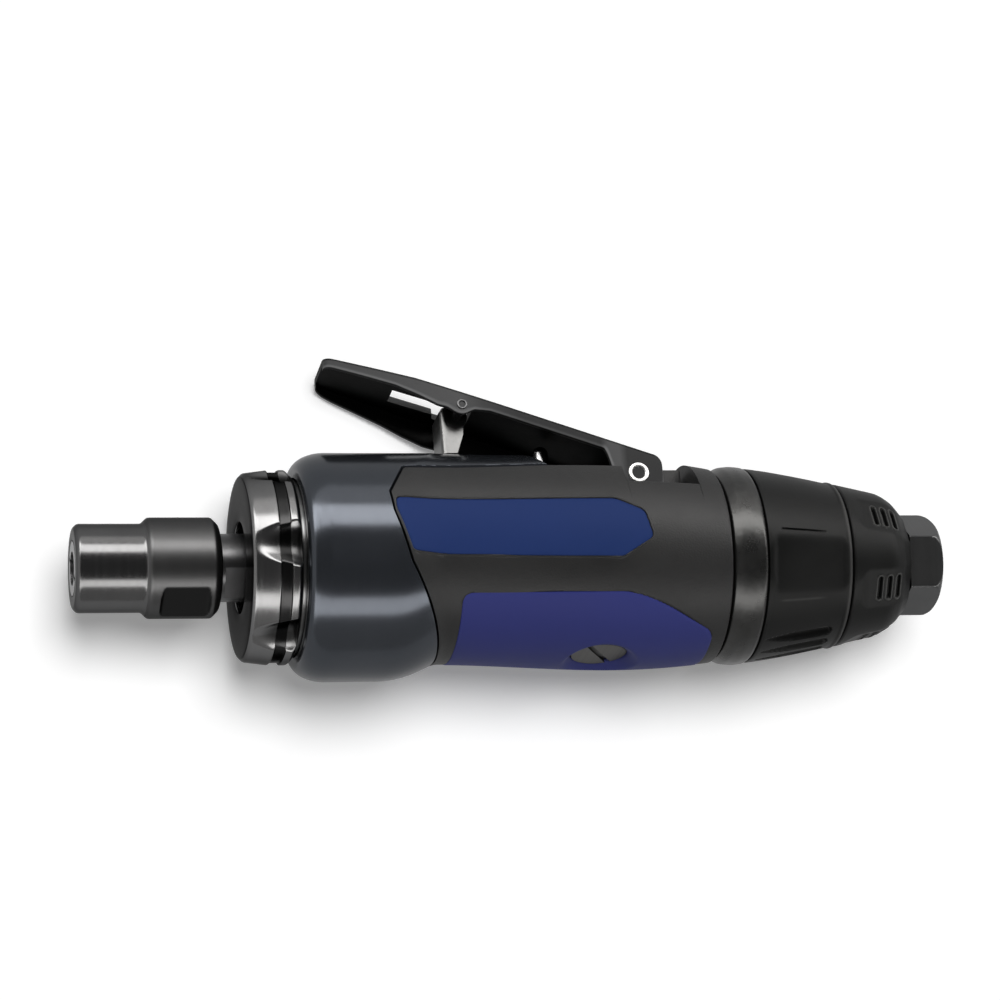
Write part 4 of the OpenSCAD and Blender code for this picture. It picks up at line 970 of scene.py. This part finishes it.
# The slot: its quads are left out, and its sides and ends are closed; caps close the tip and the rear
faces = gridFaces(len(xs), 2 * count, False).reshape(len(xs) - 1, 2 * count, 4)
slotRows = (xs[:-1] > lever["slot"][0] - 0.01) & (xs[1:] < lever["slot"][1] + 0.01)
slotCols = np.zeros(2 * count, bool)
slotCols[:4] = slotCols[count - 5:count + 4] = slotCols[-5:] = True
index = numbered(len(xs), 2 * count)
r0, r1 = np.flatnonzero(slotRows)[[0, -1]] + [0, 1]
slotEdges = (4, count - 5), (2 * count - 5, count + 4)
sides = [bridge(index[r0:r1 + 1, a], index[r0:r1 + 1, b]) for a, b in slotEdges]
topCols = join([arange(2 * count - 5, 2 * count), arange(0, 5)])
lowCols = arange(count + 4, count - 6, -1)
ends = [bridge(index[r, topCols], index[r, lowCols]) for r in (r0, r1)]
outCols = arange(0, count // 2)
capCols = (outCols, count - 1 - outCols), (2 * count - 2 - outCols, count + 1 + outCols)
caps = [quads(index[r, c], index[r, c + 1], index[r, d - 1], index[r, d])
        for r in (0, -1) for c, d in capCols]
caps += [index[r, [0, 2 * count - 1, count, count - 1]][None, :] for r in (0, -1)]
faces = join([faces[~(slotRows[:, None] & slotCols[None, :])]] + sides + ends + caps)

# Painted highlight: the sides below the fold, most of all along the rim, and the slot's edges
outside = ease(0.35, 0.02, half - abs(y)) * ease(0.15, 0.9, top - z)
steep = hypot(1, np.gradient(low, xs, axis=0))
alongRim = ease(0.6, 0.05, (z - low) / steep) * outside
paintedLight = clip(lineAt(xs, lever["flankHighlight"])[:, None] * (0.55 * outside + 0.95 * alongRim), 0, 1)
paintedLight[r0:r1 + 1, [2 * count - 5, count + 4]] = lever["slotHighlight"]
addPiece("lever_sheet", points, faces, "lever", "leverBlack", ("throttle_lever",), paintedLight=paintedLight)

# Safety tab: a folded channel swept up from its foot to its eye, open at the rear. Its heel is cut back on
# a slant, so that it clears the housing when it is folded under the pressed lever
tab = {"x": 74.5, "z": 29.697, "front": 3.4, "foot": 8.0, "half": 4.2, "sheet": 1.0, "fold": 1.2,
       "inner": 0.35, "eye": 1.9, "top": 1.5, "rear": 0.9, "clear": 2.4, "slant": 0.364}
rows = join([linspace(-tab["foot"], 0, 22), linspace(0.15, tab["top"], 10)])[:, None]
rear = where(rows < 0, blend(tab["rear"], tab["eye"], ease(-3.5, -0.6, rows)),
             sqrt(tab["eye"] ** 2 - clip(rows, 0, tab["top"]) ** 2))
rear = minimum(rear, tab["clear"] + tab["slant"] * rows)
front = 0.5 * ease(tab["top"] - 0.9, tab["top"], rows) - tab["front"]
outX = join([rear, front + tab["fold"] * (1 - sin(bend))], 1)
inX = join([rear, front + tab["sheet"] + tab["inner"] * (1 - sin(bend))], 1)
outY = join([[[0.0]], tab["fold"] * (1 - cos(bend))], 1) - tab["half"]
inY = join([[[0.0]], tab["inner"] * (1 - cos(bend))], 1) - tab["half"] + tab["sheet"]
loopX = join([outX, outX[:, ::-1], inX, inX[:, ::-1]], 1)
loopY = join([outY, -outY[:, ::-1], -inY, inY[:, ::-1]], 1)
count = loopX.shape[1]
index = numbered(len(rows), count)
caps = [bridge(index[r, :count // 2], index[r, ::-1][:count // 2]) for r in (0, -1)]
points = toBench(tab["x"] + loopX, loopY, tab["z"] + rows)
faces = join([gridFaces(len(rows), count, False)] + caps)
addPiece("safety_tab", points, faces, "safety", "tabZinc", ("safety_lever",))

# Hollow pins: a solid turned about the pin's own axis; each end is a dish of radius shares and depths
pin = {"half": 9.3, "sides": 64,
       "dish": [[0.0, 0.3], [0.2, 0.34], [0.4, 0.48], [0.52, 0.6], [0.58, 0.5], [0.64, 0.12], [0.7, 0.02],
                [0.78, 0.0], [0.9, 0.0], [0.96, 0.03], [1.0, 0.14]]}


def addPin(name, x, z, radius, body, node, finish):
    share, depth = array(pin["dish"]).T
    along = join([depth - pin["half"], pin["half"] - depth[::-1]])[:, None]
    angle = turnsOf(pin["sides"])
    reach = radius * join([share, share[::-1]])[:, None]
    points = toBench(x + reach * cos(angle), along + 0 * angle, z + reach * sin(angle))
    addGrid(name, points, False, body, finish, (node,))


addPin("lever_axle", lever["pivotX"], lever["pivotZ"], 2.0, "body", "lever_pin", "axleSteel")
addPin("safety_axle", tab["x"], tab["z"], 1.0, "lever", "safety_pin", "spindleSteel")
print("lever made")

# Bench, light and camera
studio = {"floorSize": 6.0, "topStrip": 5.9, "lowStrip": 3.9, "backPanel": 1.3, "frontPanel": 0.3,
          "sun": 2.7, "sunSpread": 28.0, "endPanel": 0.6, "world": 0.1, "glow": 0.22, "floorWhite": 0.9,
          "floorMirrored": 0.42, "light": (1.0, 0.985, 0.97), "stripEnd": 1.4, "shoulderX": 0.044,
          "shoulderR": 0.0215, "middleX": 0.08, "tilts": (11, 26, 42),
          "bands": (("Top", math.radians(28), 0.2), ("Low", math.radians(-18.3), 0.16))}
shot = {"from": (-0.0776, 0.0127, 0.694), "at": (0.0813, 0.0127, 0.0), "lens": 134.9}


# An object turned so that its x, y and z lie along three directions
def turnTo(thing, x, y, z):
    thing.rotation_euler = Matrix(array([x, y, z]).T.tolist()).to_euler()


# A soft box that is only mirrored in the part: level is its brightness, along is where its long side points
def addLight(name, place, aim, along, size, level):
    light = bpy.data.lights.new(name, "AREA")
    light.shape = "RECTANGLE"
    light.size, light.size_y = size
    light.energy = level * math.pi * size[0] * size[1]
    light.color = studio["light"]
    lamp = addObject(name, light)
    lamp.location = place
    back = (Vector(place) - Vector(aim)).normalized()
    across = back.cross(Vector(along)).normalized()
    turnTo(lamp, across.cross(back), across, back)
    lamp.visible_diffuse = False
    lamp.visible_camera = False


# Where a band of light on the housing comes from: the line of sight turned over about the surface's
# normal, which tips forward by tilt on the shoulder and stands at turn round the tool
def mirroredAt(tilt, turn, reach=0.5):
    normal = Vector((-math.sin(tilt), math.cos(tilt) * math.sin(turn), math.cos(tilt) * math.cos(turn)))
    radius = studio["shoulderR"]
    spot = Vector((studio["shoulderX"], radius * math.sin(turn), radius * math.cos(turn)))
    sight = (Vector(shot["from"]) - spot).normalized()
    return spot + reach * (2 * normal.dot(sight) * normal - sight)


shoulder = (studio["shoulderX"], 0.0, 0.0)
for label, turn, width in studio["bands"]:
    level = studio["topStrip" if label == "Top" else "lowStrip"]
    corners = [mirroredAt(math.radians(tilt), turn) for tilt in studio["tilts"]]
    for part, (a, b) in enumerate(zip(corners, corners[1:])):
        addLight("turn" + label + str(part), (a + b) / 2, shoulder, b - a, ((b - a).length, width), level)
    straight = mirroredAt(0.0, turn)
    reach = studio["stripEnd"] - corners[0].x
    centre = corners[0].x + reach / 2
    addLight("strip" + label, (centre, straight.y, straight.z), (centre, 0.0, 0.0), (1, 0, 0),
             (reach, width), level)
panels = [("panelBack", (studio["middleX"], 1.2, 0.2), (1, 0, 0), (4.0, 0.42), "backPanel"),
          ("panelInlet", (1.4, 0.0, 0.24), (0, 1, 0), (2.2, 0.5), "endPanel"),
          ("panelNose", (-1.3, 0.0, 0.24), (0, 1, 0), (2.2, 0.5), "endPanel"),
          ("panelFront", (studio["middleX"], -1.2, 0.55), (1, 0, 0), (4.0, 1.2), "frontPanel")]
for name, place, along, size, level in panels:
    addLight(name, place, (studio["middleX"], 0.0, 0.0), along, size, studio[level])

# Overhead light: even over the whole bench, soft in its shadow, and not mirrored in the part
overhead = bpy.data.lights.new("overhead", "SUN")
overhead.energy = studio["sun"]
overhead.angle = math.radians(studio["sunSpread"])
lamp = addObject("overhead", overhead)
lamp.rotation_euler = Vector((0.0, -0.32, -0.95)).to_track_quat("-Z", "Y").to_euler()
lamp.visible_glossy = False

world = bpy.data.worlds.new("studio")
world.use_nodes = True
sky = world.node_tree
seen = addNode(sky, "LightPath")["Is Camera Ray"]
setInputs(sky, sky.nodes["Background"], {"Color": (1.0, 1.0, 1.0, 1.0),
                                         "Strength": addMath(sky, "MAXIMUM", seen, studio["world"])})
bpy.context.scene.world = world

floorMesh = bpy.data.meshes.new("bench")
half = studio["floorSize"] / 2
corners = [(x, y, floorHeight) for x, y in ((-half, -half), (half, -half), (half, half), (-half, half))]
floorMesh.from_pydata(corners, [], [(0, 1, 2, 3)])
floor = addObject("bench", floorMesh)
benchTree = newFinish("benchWhite")
shades = {"Factor": addNode(benchTree, "LightPath")["Is Glossy Ray"],
          "A": (*[studio["floorWhite"]] * 3, 1.0), "B": (*[studio["floorMirrored"]] * 3, 1.0)}
benchShade = addNode(benchTree, "Mix", shades, data_type="RGBA")["Result"]
setInputs(benchTree, benchTree.nodes["Principled BSDF"], {
    "Base Color": benchShade, "Roughness": 0.9, "Metallic": 0.0, "Specular IOR Level": 0.0,
    "Emission Color": (1.0, 1.0, 1.0, 1.0), "Emission Strength": studio["glow"]})
floorMesh.materials.append(finishes["benchWhite"])

camera = bpy.data.cameras.new("shot")
camera.lens = shot["lens"]
camera.sensor_width = 36.0
camera.clip_start = 0.01
eye = addObject("shot", camera)
eye.location = shot["from"]
ahead = (Vector(shot["at"]) - Vector(shot["from"])).normalized()
right = ahead.cross(Vector((0.0, 1.0, 0.0))).normalized()
turnTo(eye, right, right.cross(ahead), -ahead)
bpy.context.scene.camera = eye
bpy.context.scene.view_settings.view_transform = "Standard"
print("stage set")

bpy.context.view_layer.update()
